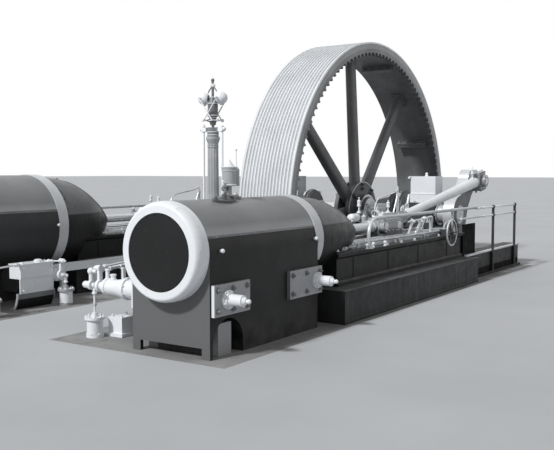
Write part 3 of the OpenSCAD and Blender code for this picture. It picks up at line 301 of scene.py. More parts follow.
MAT = {
    # Lagging tones: side, top (a painted reflection of the sky), rear end and, on the near casing, foot
    # block; then the joint's height.
    "lagging_near": lagging("lagging_near", 27, 126, 102, NEAR.lift, 165),
    "lagging_far": lagging("lagging_far", 54, 136, 104, FAR.lift),
    "bed": paint("bed_paint", coat(28, 46, streaks=0.06), coat(30, 46, dust=0.1),
                 beyond(2, BED_TOP - 0.003), rough=0.45, specular=0.2),
    "plinth": paint("plinth_paint", coat(44, 66, dust=0.2, streaks=0.2), rough=0.5, specular=0.2),
    "dark": paint("dark_iron", coat(66, 92, dust=0.3), rough=0.45),
    "black": paint("black_iron", coat(34, 58), rough=0.5, specular=0.2),
    "shadow": paint("shadow_black", coat(15, 22), rough=0.7, specular=0.06),
    "cover": paint("cover_black", coat(34, 44, patch=0.12), rough=0.55, specular=0.2),
    # Trunks: black, paler above the lagging's joint height as a painted reflection of the sky.
    "trunk": paint("trunk_black", coat(28, 44), coat(112, 96, patch=0.1),
                   beyond(2, AXIS_Z + NEAR.lift, soft=0.006), rough=0.4, specular=0.22),
    "white": paint("white_enamel", WHITE, rough=0.3, strength=0.08),
    "band": paint("band_steel", coat(208, 176, patch=0.08), rough=0.38, metal=0.1),
    "plate": paint("plate_grey", PLATE, rough=0.5),
    "near_outer": paint("near_outer_gear", PLATE, WHITE,
                        beyond(1, -NEAR.face - 0.001, below=True), rough=0.38),
    "near_inner": paint("near_inner_gear", PLATE, WHITE, beyond(1, NEAR.face + 0.001), rough=0.38),
    "far_gear": paint("far_gear", coat(96, 76, dust=0.3), WHITE,
                      outside_band(SPACING - FAR.face - 0.001, SPACING + FAR.face + 0.001), rough=0.4),
    "column": paint("column_grey", coat(182, 146, dust=0.1, patch=0.1, scale=5.0), rough=0.5),
    "yoke": paint("yoke_paint", coat(250, 232, patch=0.02), coat(132, 104, patch=0.1),
                  near_spindle(0.09), rough=0.36),
    "governor": paint("governor_head_paint", coat(236, 214, patch=0.04), coat(112, 88, patch=0.12),
                      near_spindle(0.064), rough=0.38),
    "oil_pot": paint("oil_pot_paint", coat(182, 150, patch=0.06), coat(240, 220, patch=0.03),
                     beyond(2, 3.70), rough=0.4),
    "dashpot": paint("dashpot_paint", WHITE, coat(168, 120, patch=0.12), beyond(1, WHEEL_Y), rough=0.4),
    "crosshead": paint("crosshead_steel", coat(170, 124, patch=0.12), coat(84, 64, patch=0.14),
                       beyond(2, AXIS_Z - 0.03, below=True, soft=0.02), metal=0.1),
    "handwheel": paint("handwheel_steel", BRIGHT, coat(70, 120),
                       within(0.167, (0, 2), HANDWHEEL.xz, 0.001), rough=0.34, metal=0.2),
    "steel": paint("bright_steel", BRIGHT, rough=0.32, metal=0.5, strength=0.08),
    # Connecting rods: pale, the fork end painted darker, and the big end darker as painted shade on its
    # strap.
    "rod": paint("rod_steel", coat(236, 210, patch=0.05), coat(150, 118),
                 either(beyond(0, -2.36, below=True, soft=0.01), beyond(0, 0.335, soft=0.004)),
                 rough=0.34, metal=0.1, strength=0.08),
    # Cranks: bright steel, with the web's outer face and what lies beyond it darker as painted shade.
    "crank": paint("crank_steel", coat(206, 178, patch=0.06), coat(80, 66, patch=0.14),
                   outside_band(0.0966, SPACING - 0.0966), rough=0.38, metal=0.2),
    "rim": rope_rim("rim_iron"),
    "eccentric": paint("eccentric_iron", coat(104, 170, patch=0.12), rough=0.36, metal=0.2),
    "joint": paint("joint_paint", coat(110, 150, dust=0.1, patch=0.12), rough=0.5),
    "arms": paint("arm_paint", coat(106, 88, dust=0.1, patch=0.14), rough=0.45),
    "hub": paint("hub_paint", coat(92, 120, dust=0.3), rough=0.4),
    "rail": paint("rail_steel", coat(194, 152, patch=0.12), rough=0.36, metal=0.3),
    "guard": paint("guard_rail", coat(58, 88), coat(232, 196), at_posts, rough=0.4),
    "strip": paint("strip_steel", coat(112, 150), rough=0.4, metal=0.2),
    "edging": paint("edging_steel", coat(226, 190), rough=0.4),
    "ledge": paint("ledge_paint", coat(240, 205, dust=0.1, patch=0.06), rough=0.55),
    "masonry": masonry("masonry"),
}

CAD_LOOKS = {
    "masonry": "foundations",
    "plinth": "plinths",
    "bed": "beds bearing_pedestals crank_platforms",
    "lagging_near": "near_cylinder_casing",
    "lagging_far": "far_cylinder_casing",
    "white": "near_rear_ring far_rear_ring bearing_guards",
    "cover": "near_rear_cover far_rear_cover",
    "band": "near_front_band far_front_band",
    "trunk": "near_trunk far_trunk",
    "steel": "slide_bars crankshaft near_piston_rod far_piston_rod",
    "dashpot": "dashpots",
    "dark": "main_bearings stop_valves",
    "near_outer": "near_outer_valve_bonnets",
    "near_inner": "near_inner_valve_bonnets",
    "far_gear": "far_outer_valve_bonnets far_inner_valve_bonnets",
    "rail": "handrails",
    "guard": "crank_guards",
    "column": "governor_column",
    "yoke": "governor_yoke",
    "governor": "governor_head",
    "oil_pot": "oil_pot",
    "rim": "flywheel_rim",
    "arms": "flywheel_arms",
    "hub": "flywheel_hub",
    "crank": "near_crank far_crank",
    "eccentric": "eccentrics",
    "crosshead": "near_crosshead far_crosshead",
    "rod": "near_connecting_rod far_connecting_rod",
    "handwheel": "near_handwheel far_handwheel",
}


def dress_node(name, look):
    """Gives all material slots of a CAD node one look."""
    mesh = nodes[name].data
    for i in range(len(mesh.materials)):
        mesh.materials[i] = MAT[look]
    if not mesh.materials:
        mesh.materials.append(MAT[look])


for look, node_names in CAD_LOOKS.items():
    for node_name in node_names.split():
        dress_node(node_name, look)


# Points and outlines

def turned(axis):
    """Rotation that lays +Z along the given axis."""
    return Vector(axis).normalized().to_track_quat("Z", "Y").to_matrix()


def spread(low, high, count):
    """Evenly spaced values, both ends among them."""
    return [low + (high - low) * i / (count - 1) for i in range(count)]


def circle(count, start=0.0):
    """Angles evenly round a circle, from a start in degrees."""
    return [math.radians(start + 360 * i / count) for i in range(count)]


def ring_points(at, axis, r, count, start=0.0):
    """Points evenly round a circle."""
    rot, at = turned(axis), Vector(at)
    return [at + rot @ Vector((r * math.cos(a), r * math.sin(a), 0)) for a in circle(count, start)]


def grid(*axes):
    """Points at every combination of the given coordinates; a bare number stands for a list of one."""
    xs, ys, zs = ([c] if isinstance(c, (int, float)) else c for c in axes)
    return [Vector((x, y, z)) for x in xs for y in ys for z in zs]


def arc_outline(inner, outer, low, high, steps=8):
    """Outline of a curved sheet between two radii and two angles in degrees."""
    angles = spread(math.radians(low), math.radians(high), steps + 1)
    rounds = [(outer, a) for a in angles] + [(inner, a) for a in angles[::-1]]
    return [(r * math.cos(a), r * math.sin(a)) for r, a in rounds]


def tipped(point, origin, angle):
    """Carries a point drawn along +X from the world's origin to a place, tipped up by an angle."""
    c, s = math.cos(angle), math.sin(angle)
    return Vector(origin) + Vector((point[0] * c - point[2] * s, point[1], point[0] * s + point[2] * c))


def round_axes(angle):
    """Directions out of and along a circle about the crankshaft, and the turn that lays a box there."""
    out = Vector((math.cos(angle), 0, math.sin(angle)))
    along = Vector((-out.z, 0, out.x))
    return out, along, Matrix((along, Y, out)).transposed()


BOX_FACES = [[0, 2, 3, 1], [4, 5, 7, 6], [0, 1, 5, 4], [2, 6, 7, 3], [0, 4, 6, 2], [1, 3, 7, 5]]


class Shape:
    """Vertices and faces of one piece, gathered from turned, swept and boxed forms."""

    def __init__(self):
        self.verts, self.faces = [], []

    def add(self, verts, faces):
        start = len(self.verts)
        self.verts += [Vector(v) for v in verts]
        self.faces += [[start + i for i in f] for f in faces]
        return self

    def lathe(self, profile, at, axis=Z, seg=24):
        """Turns a profile of (radius, height) pairs round an axis; radii of 0 close the ends."""
        rot, at = turned(axis), Vector(at)
        verts, faces, rings = [], [], []
        for r, h in profile:
            if r <= 1e-7:
                rings.append([len(verts)] * seg)
                verts.append(at + rot @ Vector((0, 0, h)))
            else:
                rings.append(list(range(len(verts), len(verts) + seg)))
                verts += [at + rot @ Vector((r * math.cos(a), r * math.sin(a), h)) for a in circle(seg)]
        for low, high in zip(rings, rings[1:]):
            for i in range(seg):
                k = (i + 1) % seg
                corners = [low[i], low[k], high[k], high[i]]
                face = [v for n, v in enumerate(corners) if v not in corners[:n]]
                if len(face) > 2:
                    faces.append(face)
        for ring, order in ((rings[0], -1), (rings[-1], 1)):
            if ring[0] != ring[-1]:
                faces.append(ring[::order])
        return self.add(verts, faces)

    def collar(self, inner, outer, depth, cut, at, axis=Z, seg=24, top_cut=None):
        """Turned collar with both outer corners cut."""
        top = depth - (cut if top_cut is None else top_cut)
        return self.lathe([(inner, 0), (outer, cut), (outer, top), (inner, depth)], at, axis, seg)

    def rod(self, a, b, r, seg=12):
        a, b = Vector(a), Vector(b)
        return self.lathe([(r, 0), (r, (b - a).length)], a, b - a, seg)

    def ball(self, at, r, seg=16):
        steps = max(4, seg // 2)
        bows = [math.pi * i / steps for i in range(steps + 1)]
        return self.lathe([(r * math.sin(b), -r * math.cos(b)) for b in bows], at, Z, seg)

    def tube(self, points, r, seg=10, smooth=0):
        """Sweeps a round section along points; smooth rounds the corners first."""
        pts = [Vector(p) for p in points]
        for _ in range(smooth):
            cuts = [p for a, b in zip(pts, pts[1:]) for p in (a.lerp(b, 0.25), a.lerp(b, 0.75))]
            pts = [pts[0]] + cuts + [pts[-1]]
        last = len(pts) - 1
        side = (pts[1] - pts[0]).normalized().orthogonal()
        verts, faces = [], []
        for i, p in enumerate(pts):
            d = (pts[min(i + 1, last)] - pts[max(i - 1, 0)]).normalized()
            side = (side - d * side.dot(d)).normalized()
            up = d.cross(side)
            verts += [p + r * (math.cos(t) * side + math.sin(t) * up) for t in circle(seg)]
        for i in range(last):
            for k in range(seg):
                n = (k + 1) % seg
                faces.append([i * seg + k, i * seg + n, (i + 1) * seg + n, (i + 1) * seg + k])
        faces += [list(range(seg))[::-1], [last * seg + k for k in range(seg)]]
        return self.add(verts, faces)

    def box(self, xs, ys, zs, turn=None):
        """Box between two values on each axis, turned about its own centre."""
        verts = grid(sorted(xs), sorted(ys), sorted(zs))
        verts = [verts[i] for i in (0, 4, 2, 6, 1, 5, 3, 7)]
        if turn is not None:
            centre = (verts[0] + verts[-1]) / 2
            verts = [centre + turn @ (v - centre) for v in verts]
        return self.add(verts, BOX_FACES)

    def block(self, at, half, turn):
        """Turned box, from its centre and half its sizes."""
        return self.box(*[(a - h, a + h) for a, h in zip(at, half)], turn)

    def plate(self, outline, at, axis, depth, up=Z):
        """Extrudes an outline of (across, up) pairs along an axis."""
        w = Vector(axis).normalized()
        u = Vector(up).cross(w).normalized()
        v = w.cross(u)
        n = len(outline)
        base = [Vector(at) + a * u + b * v for a, b in outline]
        faces = [list(range(n))[::-1], list(range(n, 2 * n))]
        faces += [[i, (i + 1) % n, n + (i + 1) % n, n + i] for i in range(n)]
        return self.add(base + [p + w * depth for p in base], faces)

    def ring(self, inner, outer, depth, at, axis, seg=36, cut=0.0):
        """Flat ring between two radii, with its outer corners cut."""
        rot, at = turned(axis), Vector(at)
        profile = [(inner, 0), (outer, 0), (outer, depth), (inner, depth)]
        if cut:
            profile[1:3] = [(outer - cut, 0), (outer, cut), (outer, depth - cut), (outer - cut, depth)]
        verts = []
        for r, h in profile:
            verts += [at + rot @ Vector((r * math.cos(a), r * math.sin(a), h)) for a in circle(seg)]
        faces = []
        for j in range(len(profile)):
            low, high = j * seg, (j + 1) % len(profile) * seg
            faces += [[low + i, low + (i + 1) % seg, high + (i + 1) % seg, high + i] for i in range(seg)]
        return self.add(verts, faces)

    def bolt(self, at, axis, size=0.022, head=0.6, stud=0.35):
        """Hexagon nut on a washer, with the end of its stud."""
        washer = size * 0.12
        top = washer + size * head
        self.lathe([(size * 0.85, 0), (size * 0.85, washer)], at, axis, 12)
        self.lathe([(size * 0.56, washer), (size * 0.58, washer + size * 0.05),
                    (size * 0.58, top - size * 0.1), (size * 0.48, top)], at, axis, 6)
        if stud:
            r, rise = size * 0.28, size * stud
            self.lathe([(r, top), (r, top + rise * 0.8), (size * 0.2, top + rise)], at, axis, 8)
        return self

    def bolts(self, places, axis, **how):
        for place in places:
            self.bolt(place, axis, **how)
        return self

    def domes(self, places, axis, r, rise):
        """Low domed screw heads."""
        for place in places:
            self.lathe([(r, 0), (r * 0.92, rise * 0.5), (r * 0.5, rise), (0, rise * 1.05)], place, axis, 10)
        return self

    def lubricator(self, at, height, r=0.022):
        """Drip cup on a stem: hexagon foot, stem, glass with its collars, lid and knob."""
        at = Vector(at)
        cup = height * 0.42
        glass = height * 0.24
        top = cup + r * 0.5 + glass
        stem_top = height - top - r * 0.3
        self.bolt(at, Z, size=r * 1.6, head=0.5, stud=0.0)
        self.rod(at, at + Z * cup, r * 0.34, 10)
        self.lathe([(r * 0.5, 0), (r * 0.95, r * 0.3), (r, r * 0.5), (r, r * 0.8), (r * 0.85, r)],
                   at + Z * (cup - r * 0.3), Z, 20)
        self.lathe([(r * 0.84, 0), (r * 0.84, glass)], at + Z * (cup + r * 0.5), Z, 20)
        self.lathe([(r, -r * 0.1), (r * 1.05, r * 0.2), (r * 0.7, r * 0.6), (r * 0.25, r * 0.9),
                    (r * 0.25, stem_top)], at + Z * top, Z, 20)
        self.ball(at + Z * (height - r * 0.36), r * 0.36, 12)
        return self

    def place(self, far):
        """Mirrors what was drawn for the near engine over to the far one."""
        if far:
            for v in self.verts:
                v.y = SPACING - v.y
            self.faces = [f[::-1] for f in self.faces]
        return self

    def tip(self, origin, angle):
        """Carries what was drawn along +X from the world's origin to a place, tipped up by an angle."""
        self.verts = [tipped(v, origin, angle) for v in self.verts]
        return self

    def make(self, name, body, look, bevel=0.0, angle=35):
        mesh = bpy.data.meshes.new(name)
        mesh.from_pydata(self.verts, [], self.faces)
        mesh.polygons.foreach_set("use_smooth", [True] * len(mesh.polygons))
        mesh.set_sharp_from_angle(angle=math.radians(angle))
        mesh.update()
        obj = bpy.data.objects.new(name, mesh)
        bpy.context.scene.collection.objects.link(obj)
        mesh.materials.append(MAT[look])
        if bevel:
            m = obj.modifiers.new("bevel", "BEVEL")
            m.width, m.segments, m.limit_method, m.angle_limit = bevel, 2, "ANGLE", math.radians(40)
            m.harden_normals = False
        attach(obj, body)
        return obj


PIECES = []


def piece(look, *engines, body="frame", **how):
    """Lists a function that draws one piece, which gets the function's name after its engine's.

    It is drawn once for each of the engines, or once on the whole where none is given.
    """
    def listed(draw):
        PIECES.append((draw, look, engines, body, how))
        return draw
    return listed


def make_pieces():
    for draw, look, engines, body, how in PIECES:
        for engine in engines:
            s = Shape()
            draw(s, engine)
            s.place(engine.far).make(engine.name + "_" + draw.__name__, body.format(engine.name), look, **how)
        if not engines:
            s = Shape()
            draw(s)
            s.make(draw.__name__, body, look, **how)


# Casings

@piece("strip", NEAR, FAR)
def lagging_strips(s, engine):
    """Strips with screws over the joints between the lagging's sides and its top."""
    rise, half_angle = 0.004, 1.3
    start, end = CASING_REAR + 0.004, CYL_FRONT - 0.152
    joint = math.degrees(math.asin(engine.lift / engine.lag))
    for mid in (joint, 180 - joint):
        outline = arc_outline(engine.lag - 0.002, engine.lag + rise, mid - half_angle, mid + half_angle, 4)
        s.plate(outline, (start, 0, AXIS_Z), X, end - start)
        out = Vector((0, math.cos(math.radians(mid)), math.sin(math.radians(mid))))
        first = Vector((start + 0.056, 0, AXIS_Z)) + out * (engine.lag + rise)
        s.domes([first + X * 0.195 * i for i in range(9)], out, 0.007, 0.004)


@piece("cover", NEAR, FAR)
def cover_studs(s, engine):
    face = (CYL_REAR + 0.006, 0, AXIS_Z)
    s.domes(ring_points(face, -X, engine.lag - RING_W - 0.017, 24, 7.5), -X, 0.0065, 0.005)
    s.domes(ring_points(face, -X, 0.045, 3, 30), -X, 0.007, 0.005)


@piece("white", NEAR, FAR)
def casing_knobs(s, engine):
    y = engine.lag * (0.9998 if engine.far else 1.0)
    for x in (-7.087, -5.517):
        for k in (-1, 1):
            at = Vector((x, k * y, AXIS_Z + 0.015))
            s.lathe([(0.014, -0.004), (0.014, 0.006), (0.009, 0.008), (0.009, 0.016)], at, Y * k, 16)
            s.ball(at + Y * k * 0.024, 0.02, 16)


@piece("steel", NEAR, FAR)
def band_screws(s, engine):
    r = engine.lag + 0.01
    for x in (CYL_FRONT - 0.133, CYL_FRONT - 0.02):
        for k in (-1, 1):
            for a in (math.radians(8), math.radians(50)):
                s.domes([(x, k * r * math.cos(a), AXIS_Z + r * math.sin(a))], (0, k * 0.9, 0.4), 0.006, 0.003)


# Oil pot on the near cylinder's top, with the pipe that feeds it from an oval flange

FLANGE_TILT = math.asin(-0.124 / NEAR.lag)
FLANGE_OUT = Vector((0, math.sin(FLANGE_TILT), math.cos(FLANGE_TILT)))
FLANGE_AT = Vector((-6.625, 0, AXIS_Z)) + FLANGE_OUT * (NEAR.lag - 0.004)
POT_PIPE_Z = 3.49


@piece("joint", NEAR, bevel=0.004)
def oval_flange(s, engine):
    thick = 0.026
    oval = [(0.055 * math.cos(a), 0.165 * math.sin(a)) for a in circle(40)]
    s.plate(oval, FLANGE_AT, FLANGE_OUT, thick, up=X)
    s.bolts([FLANGE_AT + FLANGE_OUT * thick + X * dx for dx in (-0.125, 0.125)], FLANGE_OUT, size=0.03)


@piece("strip", NEAR)
def oil_pot_pipe(s, engine):
    base = FLANGE_AT + FLANGE_OUT * 0.024
    s.lathe([(0.036, 0), (0.036, 0.014), (0.026, 0.018), (0.026, 0.04)], base, FLANGE_OUT, 20)
    s.tube([base + FLANGE_OUT * 0.02, base + FLANGE_OUT * 0.085, (-6.56, -0.07, POT_PIPE_Z),
            (-6.455, 0.0, POT_PIPE_Z), (-6.372, 0.0, POT_PIPE_Z)], 0.014, 12, 2)
    s.lathe([(0.024, 0), (0.024, 0.03)], (-6.47, -0.005, POT_PIPE_Z), X, 6)


@piece("white")
def oil_pot_trim(s):
    at = Vector((-6.37, 0, 0))
    for z, r in ((3.52, 0.068), (3.655, 0.068), (3.688, 0.0755)):
        s.collar(r, r + 0.004, 0.012, 0.003, at + Z * z, Z, 48)
    s.bolts(ring_points(at + Z * 3.434, Z, 0.072, 6, 30), Z, size=0.02)
    s.rod(at + Vector((-0.06, 0, 3.54)), at + Vector((-0.105, 0, 3.54)), 0.009, 10)
    s.lathe([(0.013, 0), (0.013, 0.03), (0.008, 0.034)], at + Vector((-0.095, 0, 3.525)), Z, 12)
    s.rod(at + Vector((-0.095, -0.022, 3.565)), at + Vector((-0.095, 0.022, 3.565)), 0.004, 8)
    s.ball(at + Vector((0.114, 0, 3.862)), 0.012, 14)


# Valve gear

@piece("white", OUTER, INNER)
def plate_edge(s, engine):
    for way in engine.ways:
        s.box((-7.2205, -7.2165), (way * 0.442, way * 0.474), (2.418, 2.69))


@piece("plate", OUTER, INNER)
def plate_bolts(s, engine):
    inset = 0.048
    for way in engine.ways:
        for low, high in ((-7.217, -6.701), (-6.030, -5.422)):
            xs, zs = spread(low + inset, high - inset, 3), (2.416 + inset, 2.692 - inset)
            s.bolts(grid(xs, way * engine.face, zs), Y * way, size=0.034)


@piece("white", OUTER, INNER, FAR)
def cap_bolts(s, engine):
    for way in engine.ways:
        reach, depth = (0.0735, 0.024) if way < 0 else (0.084, 0.026)
        for x in engine.valve_xs:
            centre = (x, way * (engine.face + depth), engine.valve_z)
            s.bolts(ring_points(centre, Y * way, reach, 8, 22.5), Y * way, size=0.015, head=0.7)


@piece("plate", FAR)
def chest_bolts(s, engine):
    for k in (-1, 1):
        for low in (-7.17, -6.12):
            s.bolts(grid((low, low + 0.46), k * engine.face, 2.34096), Y * k, size=0.03)
            s.bolts(grid(spread(low, low + 0.46, 5), k * engine.face, 2.496), Y * k, size=0.03)


@piece("white", NEAR)
def valve_bodies(s, engine):
    """Wider body and bolted flange behind each inner bonnet."""
    for x in engine.valve_xs:
        s.collar(0.076, 0.092, 0.165, 0.0, (x, 0.502, engine.valve_z), Y, 44)
        s.lathe([(0.076, 0), (0.107, 0), (0.107, 0.03), (0.098, 0.034), (0.09, 0.06), (0.0755, 0.15)],
                (x, 0.667, engine.valve_z), Y, 44)


@piece("white", NEAR)
def valve_body_bolts(s, engine):
    for x in engine.valve_xs:
        s.bolts(ring_points((x, 0.667, engine.valve_z), -Y, 0.1, 8, 22.5), -Y, size=0.014, head=0.7)


def bonnet_posts(s, x, z):
    """Guide posts and the drain knob of one near inner bonnet."""
    for y, r, height in ((0.946, 0.02, 0.10), (0.872, 0.025, 0.055), (0.747, 0.012, 0.125)):
        s.lathe([(r + 0.008, 0), (r + 0.008, 0.01), (r, 0.014), (r, height - 0.02),
                 (r + 0.006, height - 0.014), (r + 0.006, height - 0.004), (r, height)], (x, y, z), Z, 24)
    s.rod((x, 0.474, 2.435), (x, 0.585, 2.405), 0.017, 16)
    s.ball((x, 0.6, 2.4), 0.03, 20)


def outer_lever(s, x, z):
    """Spindle nose beyond the dashpot rod, with the outer arm of the lever and its ball."""
    top = Vector((x, 1.17, z + 0.135))
    s.lathe([(0.046, 0), (0.046, 0.034), (0.034, 0.04), (0.034, 0.1), (0.026, 0.114), (0.012, 0.12)],
            (x, 1.152, z), Y, 28)
    s.rod((x, 1.17, z), top, 0.021, 20)
    s.ball(top, 0.035, 20)
    s.rod(top - Y * 0.075, top, 0.015, 16)


def lower_link(s, pin, x, z):
    """Thick link from a near lever's outer arm to below the pin on the wrist plate."""
    low = pin + Vector((0, 0.075, -0.05))
    ball = Vector((x, 1.13, z + 0.135))
    s.rod(ball, low, 0.0175, 16)
    s.ball(low, 0.028, 16)
    s.rod(low, pin, 0.014, 12)
    for share in (0.12, 0.3, 0.52):
        s.collar(0.017, 0.026, 0.036, 0.006, ball.lerp(low, share), low - ball, 16)


@piece("white", NEAR, FAR)
def valve_links(s, engine):
    """Fittings of the inner levers, and the links that join them to a wrist plate."""
    y, z = engine.lever_y, engine.valve_z
    span = y - engine.face
    eye_y, eye_z = y + 0.05, z + 0.17
    for x, k in zip(engine.valve_xs, (-1, 1)):
        barrel_top = z + BARREL_R - 0.004
        if engine.far:
            pin = Vector((-6.2 + k * 0.2, 1.02, eye_z))
            for share in (0.3, 0.62):
                s.lubricator((x, engine.face + span * share, barrel_top), 0.105, 0.017)
        else:
            pin = Vector((WRIST.x + k * 0.12, y - 0.01, eye_z + 0.05))
            bonnet_posts(s, x, barrel_top)
            outer_lever(s, x, z)
            lower_link(s, pin, x, z)
        s.collar(BARREL_R, BARREL_R + 0.007, 0.018, 0.003, (x, engine.face + span * 0.80, z), Y, 40)
        s.bolt((x, y + 0.03, z), Y, size=0.045, head=0.5)
        s.ball((x, eye_y + 0.036, eye_z), 0.013, 12)
        s.lathe([(0.026, 0), (0.026, 0.012), (0.017, 0.02), (0.017, 0.045)], (x, y + 0.09, z - 0.085), Z, 16)
        s.bolt((x, y + 0.104, z), Y, size=0.028, head=0.5)
        end = Vector((x, eye_y, eye_z))
        way = (end - pin).normalized()
        s.rod(pin, end, 0.011, 12)
        for share in (0.16, 0.84):
            s.collar(0.012, 0.021, 0.056, 0.006, pin.lerp(end, share) - way * 0.028, way, 6)
        s.ball(pin, 0.026, 16)
        s.rod(pin - Y * 0.05, pin + Y * 0.03, 0.011, 10)


WRIST = Vector((sum(NEAR.valve_xs) / 2, NEAR.lever_y - 0.075, NEAR.valve_z + 0.11))


@piece("steel", NEAR, bevel=0.003)
def wrist_plate(s, engine):
    outline = []
    for a in circle(48):
        r = 0.105 + 0.055 * abs(math.cos(a)) ** 3 + (0.03 if math.sin(a) > 0.4 else 0.0)
        outline.append((r * math.cos(a), r * math.sin(a)))
    s.plate(outline, WRIST, Y, 0.03)
    s.lathe([(0.055, 0), (0.055, 0.05), (0.03, 0.056)], WRIST - Y * 0.01, Y, 24)
    length = WRIST.y - engine.face + 0.01
    s.lathe([(0.11, 0), (0.11, 0.03), (0.05, 0.05), (0.034, 0.12), (0.034, length)],
            (WRIST.x, engine.face - 0.04, WRIST.z), Y, 28)
    s.bolts(ring_points((WRIST.x, engine.face - 0.01, WRIST.z), Y, 0.09, 6), Y, size=0.022)


@piece("white", FAR, bevel=0.004)
def gear_box(s, engine):
    lid_z, front_y = 2.57, 1.05
    s.box((-6.44, -5.96), (0.85, front_y), (2.405, lid_z))
    s.box((-6.45, -5.955), (1.036, front_y), (2.235, 2.41))
    s.box((-6.448, -5.952), (0.842, 1.058), (2.566, lid_z + 0.01))
    s.lathe([(0.05, 0), (0.05, 0.02), (0.03, 0.03), (0, 0.034)], (-6.1, 0.95, lid_z + 0.01), Z, 24)
    s.bolts(grid((-6.41, -5.99), front_y, (2.27, 2.53)), Y, size=0.024)
    s.rod((-6.2, 0.68, 2.47), (-6.2, 0.86, 2.47), 0.05, 24)


# Curved shield below the far gear box: black sheet, grey strip above it and a bright rim at each end

SHIELD_AXIS = Vector((-6.47, 0.705, 2.24))
SHIELD_R, SHIELD_LEN, STRIP_ANGLE = 0.33, 0.54, -12.0


@piece("black", FAR)
def gear_shield(s, engine):
    s.plate(arc_outline(SHIELD_R - 0.02, SHIELD_R, -35.2, STRIP_ANGLE), SHIELD_AXIS, X, SHIELD_LEN)


@piece("plate", FAR)
def gear_shield_strip(s, engine):
    s.plate(arc_outline(SHIELD_R - 0.02, SHIELD_R + 0.001, STRIP_ANGLE, 0.0), SHIELD_AXIS, X, SHIELD_LEN)


@piece("rail", FAR)
def gear_shield_rims(s, engine):
    for dx in (-0.008, SHIELD_LEN - 0.008):
        s.plate(arc_outline(SHIELD_R - 0.022, SHIELD_R + 0.006, -35.0, 0.0), SHIELD_AXIS + X * dx, X, 0.012)


@piece("ledge", FAR, bevel=0.004)
def ledge(s, engine):
    s.box((-5.76, -4.30), (0.66, 0.745), (2.385, 2.475))
    s.box((-5.77, -4.29), (0.652, 0.752), (2.465, 2.485))
    for x in (-5.5, -4.95, -4.4):
        s.box((x - 0.03, x + 0.03), (0.67, 0.715), (GROUND, 2.39))


def on_dashpots(s, draw):
    """Draws on the foot of each dashpot of both engines."""
    for engine in (NEAR, FAR):
        part = Shape()
        for x in engine.valve_xs:
            draw(part, Vector((x, engine.dashpot_y, GROUND)))
        part.place(engine.far)
        s.add(part.verts, part.faces)


@piece("white")
def dashpot_fittings(s):
    def draw(part, foot):
        part.bolts(ring_points(foot + Z * 0.2, Z, 0.08, 8), Z, size=0.019)
        part.bolts(ring_points(foot + Z * 0.03, Z, 0.075, 6, 15), Z, size=0.017)
        part.collar(0.066, 0.078, 0.15, 0.004, foot + Z * 0.03, Z, 48, 0.006)
    on_dashpots(s, draw)


@piece("steel")
def dashpot_rod_nuts(s):
    on_dashpots(s, lambda part, foot: part.collar(0.011, 0.02, 0.035, 0.005, foot + Z * 0.3, Z, 6))


@piece("white", bevel=0.006)
def dashpot_seat(s):
    height, lip = 0.19, 0.02
    x0, x1, y0, y1 = -6.93, -6.68, 0.88, 1.06
    s.box((x0, x1), (y0, y1), (GROUND, GROUND + height))
    s.box((x0 - lip, x1 + lip), (y0 - lip, y1 + lip), (GROUND, GROUND + 0.035))
    s.bolts(grid((x0 + 0.03, x1 - 0.03), (y0 + 0.03, y1 - 0.03), GROUND + height), Z, size=0.022)


# Trunks

def bell(x, engine):
    """Outer radius of a trunk at a place along it."""
    t = max(0.0, (x - CYL_FRONT) / TRUNK_LEN)
    return MOUTH_R + (engine.root - MOUTH_R) * (1 - t ** 2.2)


@piece("strip", NEAR, FAR)
def trunk_lip(s, engine):
    cut_x = CYL_FRONT + TRUNK_LEN - CUT_LEN
    cut_r = bell(cut_x, engine)
    for k in (-1, 1):
        line = []
        for share in spread(0.0, 1.0, 25):
            x = cut_x + CUT_LEN * share
            z = cut_r * (1 - share)
            r = bell(x, engine) - TRUNK_WALL / 2
            line.append((x, k * math.sqrt(max(0.0, r * r - z * z)), AXIS_Z + z))
        s.tube(line, TRUNK_WALL / 2 + 0.006, 10)


@piece("trunk", NEAR, FAR)
def trunk_flange(s, engine):
    s.ring(engine.root - 0.03, engine.root + 0.018, 0.028, (CYL_FRONT, 0, AXIS_Z), X, 96, 0.004)


@piece("dark", NEAR, FAR)
def trunk_bolts(s, engine):
    r = engine.root + 0.006
    for a in circle(28, 6):
        if math.sin(a) > -0.9:
            s.bolt((CYL_FRONT + 0.028, r * math.cos(a), AXIS_Z + r * math.sin(a)), X, size=0.02)


def foot_line(engine):
    """Line on the bed along which a trunk's side meets it, as (x, half width) pairs."""
    line = []
    for x in spread(CYL_FRONT + 0.41, CYL_FRONT + 1.03, 13):
        half = math.sqrt(max(0.0, bell(x, engine) ** 2 - (AXIS_Z - BED_TOP) ** 2))
        line.append((x, min(half, 0.33)))
    return line


@piece("bed", NEAR, FAR, bevel=0.003)
def trunk_foot(s, engine):
    line = foot_line(engine)
    for k in (-1, 1):
        base = [Vector((x, k * (y - 0.02), BED_TOP)) for x, y in line]
        base += [Vector((x, k * min(y + 0.05, 0.385), BED_TOP)) for x, y in line[::-1]]
        n = len(base)
        faces = [list(range(n)), list(range(n, 2 * n))]
        faces += [[i, (i + 1) % n, n + (i + 1) % n, n + i] for i in range(n)]
        s.add(base + [v + Z * 0.024 for v in base], faces)


@piece("steel", NEAR, FAR)
def trunk_foot_nuts(s, engine):
    for k in (-1, 1):
        for x, y in foot_line(engine)[1:11:3]:
            s.bolt((x, k * min(y + 0.024, 0.36), BED_TOP + 0.024), Z, size=0.026)


@piece("steel", NEAR, FAR)
def gland_follower(s, engine):
    depth = 0.03
    back = Vector((CYL_FRONT + 0.287, 0, AXIS_Z))
    s.ring(0.06, 0.098, depth, back, X, 40, 0.004)
    s.bolts(ring_points(back + X * depth, X, 0.079, 4, 45), X, size=0.022)


